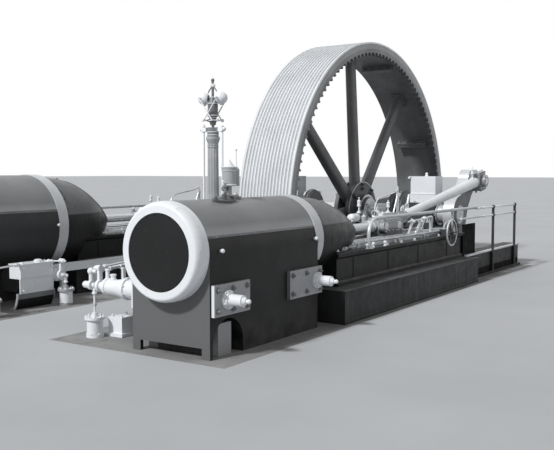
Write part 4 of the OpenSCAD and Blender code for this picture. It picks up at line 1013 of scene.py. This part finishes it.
@piece("white", NEAR)
def trunk_cock(s, engine):
    x, z = -4.72, 2.81
    s.rod((x, -0.315, z), (x, -0.372, z), 0.009, 10)
    s.ball((x, -0.374, z), 0.015, 14)
    s.lathe([(0.014, 0), (0.014, 0.012), (0.008, 0.016), (0.008, 0.026)], (x, -0.36, z - 0.026), Z, 14)


# Slides, with the oil rail on their inner side and the levers and pipe on their outer side

OIL_Y, OIL_Z, LEVER_Y = 0.215, 3.045, -0.21


@piece("steel", NEAR, FAR)
def slide_bolts(s, engine):
    for k in (-1, 1):
        s.bolts(grid(spread(-4.5, -1.6, 11), k * 0.213, BASE_TOP), Z, size=0.028)
        s.bolts(grid([-4.85 + 0.41 * i for i in (2, 3, 4, 5, 7, 8)], k * 0.345, BED_TOP), Z, size=0.03)


@piece("steel", NEAR, FAR, bevel=0.003)
def slide_ends(s, engine):
    for x0, x1, y, half, top in ((-1.46, -1.425, 0.172, 0.06, SLIDE_TOP - 0.003),
                                 (-4.66, -4.623, 0.178, 0.07, SLIDE_TOP - 0.003),
                                 (-4.35, -3.66, 0.262, 0.005, BED_TOP + 0.03),
                                 (-2.5, -1.6, 0.262, 0.005, BED_TOP + 0.03)):
        for k in (-1, 1):
            s.box((x0, x1), (k * y - half, k * y + half), (BED_TOP, top))


@piece("strip", NEAR, FAR, bevel=0.002)
def oil_rail(s, engine):
    s.box((-3.56, -1.88), (OIL_Y - 0.012, OIL_Y + 0.012), (OIL_Z - 0.025, OIL_Z))
    for x in (-3.42, -2.66, -1.95):
        s.lathe([(0.034, 0), (0.034, 0.012), (0.016, 0.02), (0.014, 0.215), (0.022, 0.215), (0.022, 0.24),
                 (0, 0.242)], (x, OIL_Y, BASE_TOP), Z, 18)
    s.lathe([(0.06, 0), (0.085, 0.006), (0.085, 0.03), (0.05, 0.042), (0.03, 0.042)],
            (-3.24, OIL_Y, 3.075), X, 40)


@piece("white", NEAR, FAR)
def slide_cups(s, engine):
    cup = Vector((-3.53, OIL_Y, 3.066))
    s.lathe([(0.03, 0), (0.05, 0.012), (0.052, 0.03), (0.052, 0.16), (0.046, 0.19), (0.03, 0.205),
             (0.03, 0.225)], cup, X, 32)
    s.bolts(ring_points(cup, -X, 0.03, 1), -X, size=0.02)
    s.lubricator((-3.293, OIL_Y, 3.12), 0.205, 0.025)
    s.lubricator((-2.76, OIL_Y, OIL_Z), 3.20 - OIL_Z, 0.02)
    s.lubricator((-1.99, OIL_Y, OIL_Z), 3.16 - OIL_Z, 0.02)


@piece("steel", NEAR, FAR)
def oil_rail_posts(s, engine):
    """Uprights on the oil rail, its curved pipe and its spring."""
    s.lathe([(0.03, 0), (0.03, 0.02), (0.02, 0.03), (0.018, 0.25), (0.026, 0.26), (0.026, 0.30),
             (0.012, 0.32), (0.008, 0.40), (0, 0.405)], (-2.12, OIL_Y, OIL_Z), Z, 20)
    s.rod((-2.276, OIL_Y, 3.04), (-2.122, OIL_Y, 3.338), 0.013, 12)
    s.box((-1.945, -1.905), (OIL_Y - 0.016, OIL_Y + 0.016), (OIL_Z, 3.175))
    s.rod((-1.92, OIL_Y, 3.15), (-1.80, OIL_Y, 3.20), 0.012, 10)
    s.rod((-1.80, OIL_Y, 3.17), (-1.746, OIL_Y, 3.307), 0.016, 12)
    s.ball((-1.746, OIL_Y, 3.307), 0.02, 14)
    bends = ((-2.838, OIL_Z), (-2.84, 3.185), (-2.78, 3.27), (-2.664, 3.308), (-2.23, 3.356), (-2.125, 3.40))
    s.tube([(x, OIL_Y, z) for x, z in bends], 0.0095, 8, 2)
    turns, steps, coil_r = 5, 12, 0.042
    coil = []
    for i in range(turns * steps + 1):
        a = math.tau * i / steps
        x = -2.86 + 0.10 * i / (turns * steps)
        coil.append((x, OIL_Y + coil_r * math.cos(a), 3.09 + coil_r * math.sin(a)))
    s.tube(coil, 0.007, 6)


@piece("steel", NEAR, FAR)
def slide_levers(s, engine):
    for x0, z0, x1, z1 in ((-2.712, 2.835, -2.562, 2.986), (-2.453, 2.835, -2.297, 2.975),
                           (-2.30, 2.86, -2.171, 3.01)):
        low, high = Vector((x0, LEVER_Y, z0)), Vector((x1, LEVER_Y, z1))
        s.rod(low, high, 0.018, 14)
        s.ball(low, 0.024, 14)
        s.ball(high, 0.032, 18)
        s.rod(high - Y * 0.035, high + Y * 0.035, 0.015, 12)
    s.rod((-2.70, LEVER_Y, 2.99), (-2.15, LEVER_Y, 3.008), 0.012, 12)
    s.rod((-2.171, LEVER_Y, 3.01), (-1.929, LEVER_Y, 3.022), 0.016, 12)
    s.box((-1.96, -1.915), (LEVER_Y - 0.018, LEVER_Y + 0.018), (BASE_TOP, 3.03))


@piece("rail", NEAR, FAR)
def oil_pipes(s, engine):
    y = -0.30
    bends = ((-4.30, 2.77), (-4.30, 2.83), (-4.1, 2.83), (-2.0, 2.82), (-1.7, 2.82))
    s.tube([(x, y, z) for x, z in bends], 0.014, 10, 1)
    for x in (-4.1, -3.3, -2.5, -1.75):
        s.lathe([(0.022, 0), (0.022, 0.03)], (x, y, 2.828 - 0.004 * (x + 4.1)), X, 6)
        s.box((x + 0.06, x + 0.09), (y - 0.025, y + 0.025), (BED_TOP, 2.82))


# Handrails and the taps beside them

HANDRAIL_Y = -0.37


@piece("rail", NEAR, FAR)
def handrail_fittings(s, engine):
    for x, inner, outer, reach, count, size in ((-4.165, 0.022, 0.06, 0.047, 4, 0.014),
                                                (-1.54, 0.0205, 0.05, 0.038, 3, 0.012)):
        s.ring(inner, outer, 0.012, (x, HANDRAIL_Y, BED_TOP), Z, 24, 0.002)
        s.bolts(ring_points((x, HANDRAIL_Y, BED_TOP + 0.012), Z, reach, count, 45), Z, size=size)
    for x in (-3.96, -2.75, -1.585, -0.58):
        s.collar(PIPE_R, PIPE_R + 0.0045, 0.03, 0.004, (x, HANDRAIL_Y, RAIL_Z), X, 20)
    s.ball((-0.52, HANDRAIL_Y, RAIL_Z), 0.03, 16)


@piece("white", NEAR, FAR)
def bed_taps(s, engine):
    for x, dy in ((-4.235, -0.012), (-4.02, 0.01), (-3.75, -0.01)):
        at = Vector((x, HANDRAIL_Y + dy, BED_TOP))
        s.lathe([(0.02, 0), (0.02, 0.01), (0.011, 0.014), (0.011, 0.03)], at, Z, 16)
        s.ball(at + Z * 0.045, 0.021, 16)


# Crossheads and connecting rods; the rods' pieces are drawn along +X from the gudgeon pin

BIG_END_X, ROD_SIDE = ROD_LEN, 0.09


@piece("steel", NEAR, FAR, body="{}_crosshead_group")
def crosshead_fittings(s, engine):
    side_y, cup_y = 0.165, 0.135
    for k in (-1, 1):
        for dx in (-0.24, 0.14):
            face = GUDGEON + Vector((dx, k * side_y, 0))
            s.lathe([(0.05, 0), (0.05, 0.003), (0.042, 0.006), (0, 0.006)], face, Y * k, 32)
            s.domes(ring_points(face, Y * k, 0.066, 6, 15), Y * k, 0.009, 0.006)
        for dx in (-0.16, -0.05, 0.06):
            s.domes([GUDGEON + Vector((dx, k * side_y, dz)) for dz in (-0.058, 0.062)], Y * k, 0.009, 0.006)
            s.bolt(GUDGEON + Vector((dx, k * cup_y, 0.088)), Z, size=0.02)
        for dx in (-0.295, 0.174):
            s.lathe([(0.026, 0), (0.03, 0.004), (0.03, 0.014), (0.012, 0.03), (0.005, 0.034), (0.005, 0.048),
                     (0, 0.05)], GUDGEON + Vector((dx, k * cup_y, 0.108)), Z, 20)
    s.collar(0.058, 0.082, 0.04, 0.006, GUDGEON - X * 0.372, X, 6)


@piece("white", NEAR, FAR, body="{}_crosshead_group", bevel=0.004)
def crosshead_oil_box(s, engine):
    low, high = HEAD_X - 0.07, HEAD_X + 0.225
    lid_z = AXIS_Z + 0.148
    s.box((low, high), (-0.034, 0.034), (AXIS_Z + 0.096, lid_z))
    s.box((low - 0.006, high + 0.006), (-0.038, 0.038), (lid_z, lid_z + 0.01))
    for dx in (-0.03, 0.17):
        s.lathe([(0.016, 0), (0.016, 0.008), (0.006, 0.012), (0.006, 0.02), (0, 0.022)],
                (HEAD_X + dx, 0, lid_z + 0.009), Z, 14)
    s.lubricator((HEAD_X + 0.14, 0, lid_z + 0.009), 0.165, 0.024)


@piece("steel", NEAR, FAR, body="{}_rod_group")
def rod_fittings(s, engine):
    """Cotter, strap bolts, bright rings and the cap of the crankpin."""
    cap = Vector((BIG_END_X, -0.152, 0))
    s.box((3.49, 3.535), (-0.011, 0.011), (-0.185, 0.2))
    s.box((3.535, 3.555), (-0.009, 0.009), (-0.165, 0.165))
    for k in (1, -1):
        s.bolts(grid((3.60, 3.69), (-0.05, 0.05), k * 0.145), Z * k, size=0.03, stud=0.5)
    s.ring(0.0825, 0.0935, 0.02, (3.40, 0, 0), X, 40, 0.003)
    s.ring(0.062, 0.069, 0.016, (0.60, 0, 0), X, 36, 0.003)
    s.lathe([(0.05, 0), (0.05, 0.004), (0.018, 0.006), (0, 0.002)], cap, -Y, 40)
    s.bolts(ring_points(cap, -Y, 0.074, 6, 30), -Y, size=0.016, head=0.5, stud=0.0)
    s.tip(GUDGEON, engine.rod_angle)


@piece("dark", NEAR, FAR, body="{}_rod_group")
def strap_seams(s, engine):
    for x in (3.47, 3.565):
        s.box((x, x + 0.004), (-ROD_SIDE - 0.003, -ROD_SIDE + 0.002), (-0.1452, 0.1452))
    for zs in ((-0.15, -0.137), (0.137, 0.15)):
        s.box((3.45, 3.73), (-ROD_SIDE - 0.004, -ROD_SIDE + 0.004), zs)
    s.tip(GUDGEON, engine.rod_angle)


@piece("white", NEAR, FAR, body="{}_rod_group")
def crankpin_cup(s, engine):
    s.lubricator(tipped((3.34, 0, 0.07), GUDGEON, engine.rod_angle), 0.20, 0.028)


@piece("steel", NEAR, FAR, body="{}_rod_group")
def fork_caps(s, engine):
    y = ROD_SIDE + 0.004
    for k in (-1, 1):
        s.lathe([(0.066, 0), (0.066, 0.003), (0.05, 0.006), (0, 0.006)], (0, k * y, 0), Y * k, 36)
        s.domes(grid((0.13, 0.3, 0.47), k * y, (-0.038, 0.038)), Y * k, 0.009, 0.006)
    s.tip(GUDGEON, engine.rod_angle)


# Crankshaft, cranks and main bearings; the cranks' pieces are drawn along +X from the shaft

ECCENTRIC_R, ECCENTRIC_THROW = 0.335, 0.08


@piece("steel", NEAR, FAR, body="crankshaft_group")
def crank_fittings(s, engine):
    outer_y, inner_y = 0.095, 0.275
    s.ring(0.1305, 0.15, 0.0025, (0, outer_y, 0), -Y, 48)
    s.ring(0.02, 0.05, 0.0025, (0, outer_y, 0), -Y, 32)
    s.ring(0.20, 0.235, 0.003, (0, inner_y, 0), Y, 64)
    s.box((0.125, 0.165), (0.0935, 0.12), (-0.022, 0.022))
    s.ring(0.145, 0.152, 0.006, (CRANK_R, inner_y, 0), Y, 48)
    s.lathe([(0.07, 0), (0.07, 0.01), (0.05, 0.016), (0.05, 0.05), (0.04, 0.056), (0, 0.056)],
            (CRANK_R, inner_y, 0), Y, 6)
    s.tip(SHAFT, engine.crank_angle)


@piece("steel", NEAR, FAR, body="crankshaft_group")
def shaft_collars(s, engine):
    shaft_r = 0.151
    for y, outer, depth, cut in ((0.437, 0.186, 0.014, 0.003), (0.905, 0.19, 0.02, 0.004),
                                 (1.29, 0.178, 0.045, 0.004)):
        s.ring(shaft_r, outer, depth, SHAFT + Y * y, Y, 64, cut)
    centre = SHAFT + Y * 1.3125
    for place in ring_points(centre, Y, 0.176, 2):
        s.bolt(place, place - centre, size=0.022)


@piece("steel", NEAR, FAR, body="crankshaft_group", bevel=0.002)
def eccentric_lugs(s, engine):
    """Bolted lugs of the eccentrics' straps."""
    for i in (0, 1):
        turn = math.radians(45 + 100 * i)
        throw = Vector((math.cos(turn), 0, math.sin(turn))) * ECCENTRIC_THROW
        centre = SHAFT + throw + Y * (1.08 + 0.11 * i)
        for opposite in (0, math.pi):
            out, along, mat = round_axes(turn + math.pi / 2 + opposite)
            at = centre + out * ECCENTRIC_R
            s.block(at, (0.045, 0.017, 0.02), mat)
            for k in (-1, 1):
                s.bolt(at + along * k * 0.045, along * k, size=0.02)


@piece("steel", NEAR, FAR)
def bearing_nuts(s, engine):
    for k in (-1, 1):
        s.bolts(grid(k * 0.187, (0.55, 0.81), 3.145), Z, size=0.036, stud=0.6)
        s.bolts(grid(k * 0.272, (0.54, 0.82), 2.83), Z, size=0.05, stud=0.5)
        for y in (0.455, 0.905):
            s.box((k * 0.165 - 0.04, k * 0.165 + 0.04), (y - 0.006, y + 0.006),
                  (AXIS_Z - 0.02, AXIS_Z + 0.02))


@piece("black", NEAR, FAR)
def bearing_seams(s, engine):
    zs = (AXIS_Z - 0.004, AXIS_Z + 0.004)
    for k in (-1, 1):
        s.box((k * 0.2085, k * 0.2125), (0.458, 0.902), zs)
        for y in (0.4585, 0.9015):
            s.box((k * 0.152, k * 0.212), (y - 0.002, y + 0.002), zs)


@piece("white", NEAR, FAR, bevel=0.002)
def guard_beads(s, engine):
    s.box((-0.1645, 0.1645), (0.452, 0.908), (3.282, 3.294))


@piece("white", NEAR, FAR)
def guard_knobs(s, engine):
    s.tube([(-0.14, 0.88, 3.56), (-0.165, 0.895, 3.575), (-0.175, 0.912, 3.56)], 0.009, 10, 2)
    s.ball((-0.176, 0.914, 3.548), 0.022, 18)


@piece("bed", NEAR, FAR, bevel=0.003)
def pedestal_trim(s, engine):
    for k in (-1, 1):
        for zs in ((2.07, 2.13), (2.70, BED_TOP)):
            s.box((k * 0.48, k * 0.488), (0.36, 0.955), zs)
    s.bolts(grid((-0.42, 0.42), (0.42, 0.93), BED_TOP), Z, size=0.045)


# Flywheel

ARMS, ARM_START = 8, 5
RIM_INNER, HUB_R = 2.708, 0.302
WHEEL = Vector((0, WHEEL_Y, AXIS_Z))


def flywheel_arms_cast():
    """Oval arms that taper towards the rim, in place of the solids' plain ones."""
    s = Shape()
    steps, count, power, half_depth = 10, 28, 0.62, 0.0745
    for a in circle(ARMS, ARM_START):
        out, along, _ = round_axes(a)
        verts = []
        for share in spread(0.0, 1.0, steps + 1):
            centre = WHEEL + out * (HUB_R + (RIM_INNER - 0.006 - HUB_R) * share)
            half_width = (0.235 - 0.055 * share) / 2
            for t in circle(count):
                across, deep = (math.copysign(abs(c) ** power, c) for c in (math.cos(t), math.sin(t)))
                verts.append(centre + along * half_width * across + Y * half_depth * deep)
        faces = [list(range(count))[::-1], [steps * count + j for j in range(count)]]
        for k in range(steps):
            low, high = k * count, (k + 1) * count
            for j in range(count):
                n = (j + 1) % count
                faces.append([low + j, low + n, high + n, high + j])
        s.add(verts, faces)
    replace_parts(s.make("flywheel_arms_cast", "crankshaft_group", "arms", angle=60), "flywheel_arms")


@piece("arms", body="crankshaft_group", bevel=0.006)
def flywheel_arm_feet(s):
    for a in circle(ARMS, ARM_START):
        out, _, mat = round_axes(a)
        s.block(WHEEL + out * (RIM_INNER - 0.028), (0.15, 0.115, 0.022), mat)


@piece("joint", body="crankshaft_group", bevel=0.004)
def flywheel_rim_joints(s):
    """Bolted flanges where two segments of the rim meet, midway between arms."""
    for a in circle(ARMS, ARM_START + 22.5):
        out, along, mat = round_axes(a)
        for k in (-1, 1):
            s.block(WHEEL + out * (RIM_INNER - 0.048) + along * k * 0.026, (0.024, 0.29, 0.05), mat)


@piece("hub", body="crankshaft_group")
def flywheel_bolts(s):
    for a in circle(ARMS, ARM_START):
        out, along, _ = round_axes(a)
        for k in (-1, 1):
            for y in (-0.08, 0.08):
                s.bolt(WHEEL + out * (RIM_INNER - 0.05) + along * k * 0.122 + Y * y, -out, size=0.034)
            for r in (0.40, 0.475):
                s.bolt(WHEEL + out * r + Y * k * 0.145, Y * k, size=0.045)
    for a in circle(ARMS, ARM_START + 22.5):
        out, along, _ = round_axes(a)
        for k in (-1, 1):
            for y in (-0.22, -0.08, 0.08, 0.22):
                s.bolt(WHEEL + out * (RIM_INNER - 0.055) + along * k * 0.05 + Y * y, along * k, size=0.036)


@piece("steel", body="crankshaft_group")
def flywheel_bright_rings(s):
    for k in (-1, 1):
        for y, inner, outer, depth, seg, cut in ((0.45, 2.836, 2.858, 0.0025, 240, 0.0),
                                                 (0.145, 0.508, 0.519, 0.003, 96, 0.0),
                                                 (0.235, 0.262, 0.3, 0.004, 72, 0.001),
                                                 (0.285, 0.192, 0.242, 0.006, 72, 0.002)):
            s.ring(inner, outer, depth, WHEEL + Y * k * y, Y * k, seg, cut)


@piece("steel", body="crankshaft_group", bevel=0.002)
def flywheel_keys(s):
    for k in (-1, 1):
        for i, place in enumerate(ring_points(WHEEL + Y * k * 0.285, Y, 0.2, 4, 45)):
            s.block(place, (0.02, 0.03, 0.02), Matrix.Rotation(math.radians(45 + 90 * i), 3, "Y"))


# Governor

HEAD_Z = 4.05


@piece("column")
def governor_column_mouldings(s):
    foot = GOVERNOR + Z * 2.11
    for z, r in ((2.175, 0.088), (2.20, 0.083), (3.925, 0.066), (3.95, 0.064)):
        s.collar(r - 0.012, r, 0.017, 0.004, GOVERNOR + Z * z, Z, 40)
    s.lathe([(0.10, 0), (0.10, 0.01), (0.083, 0.03), (0.08, 0.05), (0.07, 0.05)], foot, Z, 48)
    s.bolts(ring_points(foot, Z, 0.175, 8, 22.5), Z, size=0.03)


@piece("white")
def governor_yoke_fittings(s):
    for k in (-1, 1):
        rod = GOVERNOR + Y * k * 0.133
        s.ball(GOVERNOR + Vector((0, k * 0.158, 4.135)), 0.024, 18)
        for z in (4.10, 4.156):
            s.collar(0.013, 0.02, 0.02, 0.004, rod + Z * z, Z, 16)
        for z in (3.15, 2.26):
            s.collar(0.013, 0.018, 0.034, 0.004, rod + Z * z, Z, 6)
    for z in (4.062, 4.096):
        s.collar(0.06, 0.07, 0.014, 0.004, GOVERNOR + Z * z, Z, 40)


@piece("white", body="governor_group")
def governor_head_fittings(s):
    """Collars of the sleeve, pins of the balls, and the links that cross before and behind the spindle."""
    base = GOVERNOR + Z * HEAD_Z
    for z, r in ((0.176, 0.054), (0.212, 0.0425), (0.235, 0.059), (0.37, 0.059), (0.44, 0.036)):
        s.collar(r - 0.006, r + 0.004, 0.012, 0.003, base + Z * z, Z, 44)
    for k in (-1, 1):
        ball = base + Vector((0, k * 0.122, 0.435))
        s.lathe([(0.0, 0), (0.02, 0.002), (0.02, 0.012), (0.01, 0.016)], ball - Z * 0.082, Z, 18)
        s.lathe([(0.014, 0), (0.014, 0.02), (0.008, 0.026), (0, 0.028)], ball + X * k * 0.095, X * k, 16)
        s.lathe([(0.018, 0), (0.018, 0.012), (0.01, 0.018)],
                base + Vector((k * 0.095, -k * 0.062, 0.186)), X * k, 16)
        s.ball(base + Vector((0, k * 0.008, 0.58)), 0.024, 18)
        top = base + Vector((k * 0.1, -k * 0.122, 0.435))
        foot = base + Vector((k * 0.1, k * 0.062, 0.186))
        s.rod(top, foot, 0.0075, 14)
        for end in (top, foot):
            s.rod(end - X * k * 0.075, end + X * k * 0.012, 0.008, 14)
    s.collar(0.015, 0.026, 0.036, 0.006, base + Z * 0.565, Z, 24)
    s.lathe([(0.018, 0), (0.01, 0.01), (0.004, 0.02), (0, 0.022)], base + Z * 0.657, Z, 16)


# Plinths, beds and crank platforms

PLATFORM_TOP, CRANK_END = 2.42, -1.138


@piece("plinth", NEAR, FAR, bevel=0.003)
def plinth_mouldings(s, engine):
    for k in (-1, 1):
        for x in (-3.75, -1.62):
            s.box((x - 0.009, x + 0.009), (k * 0.612, k * 0.623), (2.06, 2.398))
        for zs in ((GROUND, 2.085), (2.385, PLINTH_TOP + 0.002)):
            s.box((-5.192, CRANK_END), (k * 0.612, k * 0.626), zs)


@piece("bed", NEAR, FAR, bevel=0.002)
def bed_mouldings(s, engine):
    for k in (-1, 1):
        s.box((-4.942, CRANK_END), (k * 0.392, k * 0.403), (BED_TOP - 0.022, BED_TOP + 0.002))
        for x in (-4.55, -3.65, -2.75, -1.75):
            s.box((x - 0.012, x + 0.012), (k * 0.376, k * 0.384), (2.47, 2.695))
    s.bolts(grid(CRANK_END - 0.002, (-0.33, -0.2, 0.2, 0.33), (2.5, 2.66)), X, size=0.04)


@piece("edging", NEAR, FAR, bevel=0.002)
def platform_edge(s, engine):
    s.box((-1.142, 1.402), (-0.446, -0.404), (2.400, 2.426))
    s.box((1.39, 1.404), (-0.43, -0.165), (2.408, 2.424))


@piece("bed", NEAR, FAR)
def platform_tread(s, engine):
    """Raised bars of the chequer plate, turned one way and the other in turn."""
    pitch = 0.062
    for i in range(40):
        for j in range(4):
            x = -1.08 + pitch * i
            y = -0.395 + pitch * j + (pitch / 2 if i % 2 else 0.0)
            turn = Matrix.Rotation(math.radians(45 if (i + j) % 2 else -45), 3, "Z")
            if y < -0.19:
                s.block((x, y, PLATFORM_TOP + 0.001), (0.015, 0.004, 0.0015), turn)


# Splash plate at the bed's end; its near-black is a painted shade.
@piece("shadow", NEAR, FAR, bevel=0.002)
def splash_plate(s, engine):
    edge_ys, top = (-0.408, -0.384), 2.878
    s.box((-1.20, -0.70), (-0.402, -0.39), (PLATFORM_TOP, top - 0.008))
    s.box((-1.20, -0.695), edge_ys, (top - 0.023, top))
    s.box((-0.712, -0.695), edge_ys, (PLATFORM_TOP, top))
    s.domes(grid((-1.08, -0.80), -0.402, (2.47, 2.64, 2.81)), -Y, 0.01, 0.006)


# Black strip low on the platform's front: a painted shadow of the recess under the platform.
@piece("shadow", NEAR, FAR)
def platform_toe(s, engine):
    s.box((-1.12, 1.38), (-0.4325, -0.425), (2.08, 2.18))


@piece("bed", NEAR, FAR, bevel=0.003)
def platform_step(s, engine):
    s.box((-1.13, 1.402), (-0.478, -0.424), (GROUND, 2.088))


# Crank guards, handwheels and what stands beside them

@piece("dark", NEAR, FAR)
def guard_sockets(s, engine):
    for x in POST_XS:
        s.ring(0.0212, 0.05, 0.012, (x, GUARD_Y, GROUND), Z, 24, 0.002)
        for z in GUARD_ZS:
            s.collar(0.0212, 0.029, 0.042, 0.006, (x, GUARD_Y, z - 0.021), Z, 18)


@piece("edging", NEAR, FAR)
def guard_rail_ends(s, engine):
    """Ends that lengthen the rails towards the cylinders, and the link that stays the lower one."""
    rail_r, link_x = 0.0146, -1.40
    for z, end_x in zip(GUARD_ZS, (-0.66, link_x)):
        end = (end_x, GUARD_Y, z)
        s.rod((-0.44, GUARD_Y, z), end, rail_r, 16)
        s.collar(rail_r, 0.021, 0.04, 0.006, (-0.46, GUARD_Y, z), X, 16)
        s.ball(end, 0.021, 14)
    s.rod((link_x, GUARD_Y, GUARD_ZS[1]), (link_x, -0.38, 2.94), 0.014, 14)


@piece("dark", NEAR, FAR, body="{}_handwheel_group")
def handwheel_hub(s, engine):
    s.lathe([(0.026, 0), (0.03, 0.004), (0.03, 0.02), (0.014, 0.026)], HANDWHEEL, -Y, 24)
    s.bolt(HANDWHEEL - Y * 0.024, -Y, size=0.022)
    for place in ring_points(HANDWHEEL, Y, 0.168, 6):
        s.ball(place, 0.015, 12)


@piece("strip", NEAR, FAR)
def rail_bracket(s, engine):
    s.tube([(-1.395, HANDRAIL_Y, 3.095), (-1.43, -0.374, 3.03), (-1.44, -0.378, 2.96), (-1.40, -0.38, 2.90),
            (-1.335, -0.38, 2.86), (-1.33, -0.38, BED_TOP)], 0.017, 10, 2)
    s.ball((-1.335, -0.38, 2.87), 0.03, 16)


@piece("rail", NEAR, FAR)
def stop_valve_trim(s, engine):
    """Gland of the stop valve's stem, and the bent pipe from its top down to the bed."""
    x, y = HANDWHEEL.x, -0.345
    gland = (x, -0.4, HANDWHEEL.z)
    s.ring(0.0255, 0.042, 0.014, gland, -Y, 24, 0.003)
    s.bolts(ring_points(gland, -Y, 0.034, 4, 45), -Y, size=0.01)
    bends = ((x, 2.84), (x, 2.88), (-1.73, 2.93), (-1.62, 2.95), (-1.45, 2.93), (-1.38, 2.85), (-1.38, 2.765))
    s.tube([(bend_x, y, z) for bend_x, z in bends], 0.013, 10, 2)
    s.lathe([(0.022, 0), (0.022, 0.02)], (-1.38, y, BED_TOP), Z, 6)
    s.lathe([(0.03, 0), (0.03, 0.012), (0.02, 0.018)], (x, y, 2.845), Z, 20)


# Stage, lights and camera

def make_stage():
    """Floor at the paving, with an open pit round the foundations and under the wheel."""
    far = 220.0
    pit_x0, pit_x1, pit_y0, pit_y1 = -3.0, 3.0, 1.4, 2.6
    low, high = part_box("foundations")
    lot_x0, lot_x1, lot_y0, lot_y1 = low[0], high[0], low[1], high[1]
    mesh = bmesh.new()

    def quad(*points):
        mesh.faces.new([mesh.verts.new(p) for p in points])

    for x0, x1, y0, y1, z in ((-far, far, -far, lot_y0, GROUND), (-far, far, lot_y1, far, GROUND),
                              (-far, lot_x0, lot_y0, lot_y1, GROUND),
                              (lot_x0, pit_x0, pit_y0, pit_y1, GROUND),
                              (lot_x1, far, lot_y0, pit_y0, GROUND), (lot_x1, far, pit_y1, lot_y1, GROUND),
                              (pit_x1, far, pit_y0, pit_y1, GROUND), (pit_x0, pit_x1, pit_y0, pit_y1, 0.0)):
        quad((x0, y0, z), (x1, y0, z), (x1, y1, z), (x0, y1, z))
    for x in (pit_x0, pit_x1):
        quad((x, pit_y0, 0), (x, pit_y1, 0), (x, pit_y1, GROUND), (x, pit_y0, GROUND))
    for y in (pit_y0, pit_y1):
        quad((lot_x1, y, 0), (pit_x1, y, 0), (pit_x1, y, GROUND), (lot_x1, y, GROUND))
    data = bpy.data.meshes.new("floor")
    mesh.to_mesh(data)
    mesh.free()
    floor = bpy.data.objects.new("floor", data)
    bpy.context.scene.collection.objects.link(floor)
    m = Nodes("floor")
    colour = m.mix(m.ramp(m.noise(0.5, 4), 0.3, 0.7), grey(176, COOL), grey(186, COOL))
    data.materials.append(m.finish(colour, 0.85, m.noise(20.0, 4), 0.1, 0.004))


def make_world():
    """White sky that lights less than it shows to the camera and in mirrors."""
    world = bpy.data.worlds.new("world")
    bpy.context.scene.world = world
    world.use_nodes = True
    tree = world.node_tree
    tree.nodes.clear()
    path = tree.nodes.new("ShaderNodeLightPath")
    seen = path.outputs["Is Camera Ray"]
    for other in ("Is Glossy Ray", "Is Transmission Ray"):
        add = tree.nodes.new("ShaderNodeMath")
        add.operation = "MAXIMUM"
        tree.links.new(seen, add.inputs[0])
        tree.links.new(path.outputs[other], add.inputs[1])
        seen = add.outputs[0]
    mix = tree.nodes.new("ShaderNodeMixShader")
    tree.links.new(seen, mix.inputs[0])
    for i, strength in ((1, 0.33), (2, 1.0)):
        shade = tree.nodes.new("ShaderNodeBackground")
        shade.inputs[0].default_value = (1, 1, 1, 1)
        shade.inputs[1].default_value = strength
        tree.links.new(shade.outputs[0], mix.inputs[i])
    out = tree.nodes.new("ShaderNodeOutputWorld")
    tree.links.new(mix.outputs[0], out.inputs[0])


def make_sun(name, towards, strength, spread_angle):
    data = bpy.data.lights.new(name, "SUN")
    data.energy = strength
    data.angle = math.radians(spread_angle)
    lamp = bpy.data.objects.new(name, data)
    lamp.rotation_mode = "QUATERNION"
    lamp.rotation_quaternion = Vector(towards).to_track_quat("-Z", "Y")
    bpy.context.scene.collection.objects.link(lamp)


def make_camera():
    """Camera that stands and looks as the photo's did."""
    down, heading = 3.755, 33.34
    data = bpy.data.cameras.new("camera")
    data.sensor_fit = "HORIZONTAL"
    data.sensor_width = 36.0
    data.lens = 52.70
    data.clip_end = 500.0
    camera = bpy.data.objects.new("camera", data)
    camera.location = (-12.589, -4.638, 3.65)
    camera.rotation_euler = (math.radians(90 - down), 0.0, math.radians(heading - 90))
    bpy.context.scene.collection.objects.link(camera)
    bpy.context.scene.camera = camera


make_pieces()
flywheel_arms_cast()
bpy.context.scene.view_settings.view_transform = "Standard"
make_stage()
make_world()
make_sun("key", (0.72, -0.18, -0.67), 2.8, 6)
make_sun("fill", (0.1, 0.9, -0.45), 0.12, 60)
make_camera()
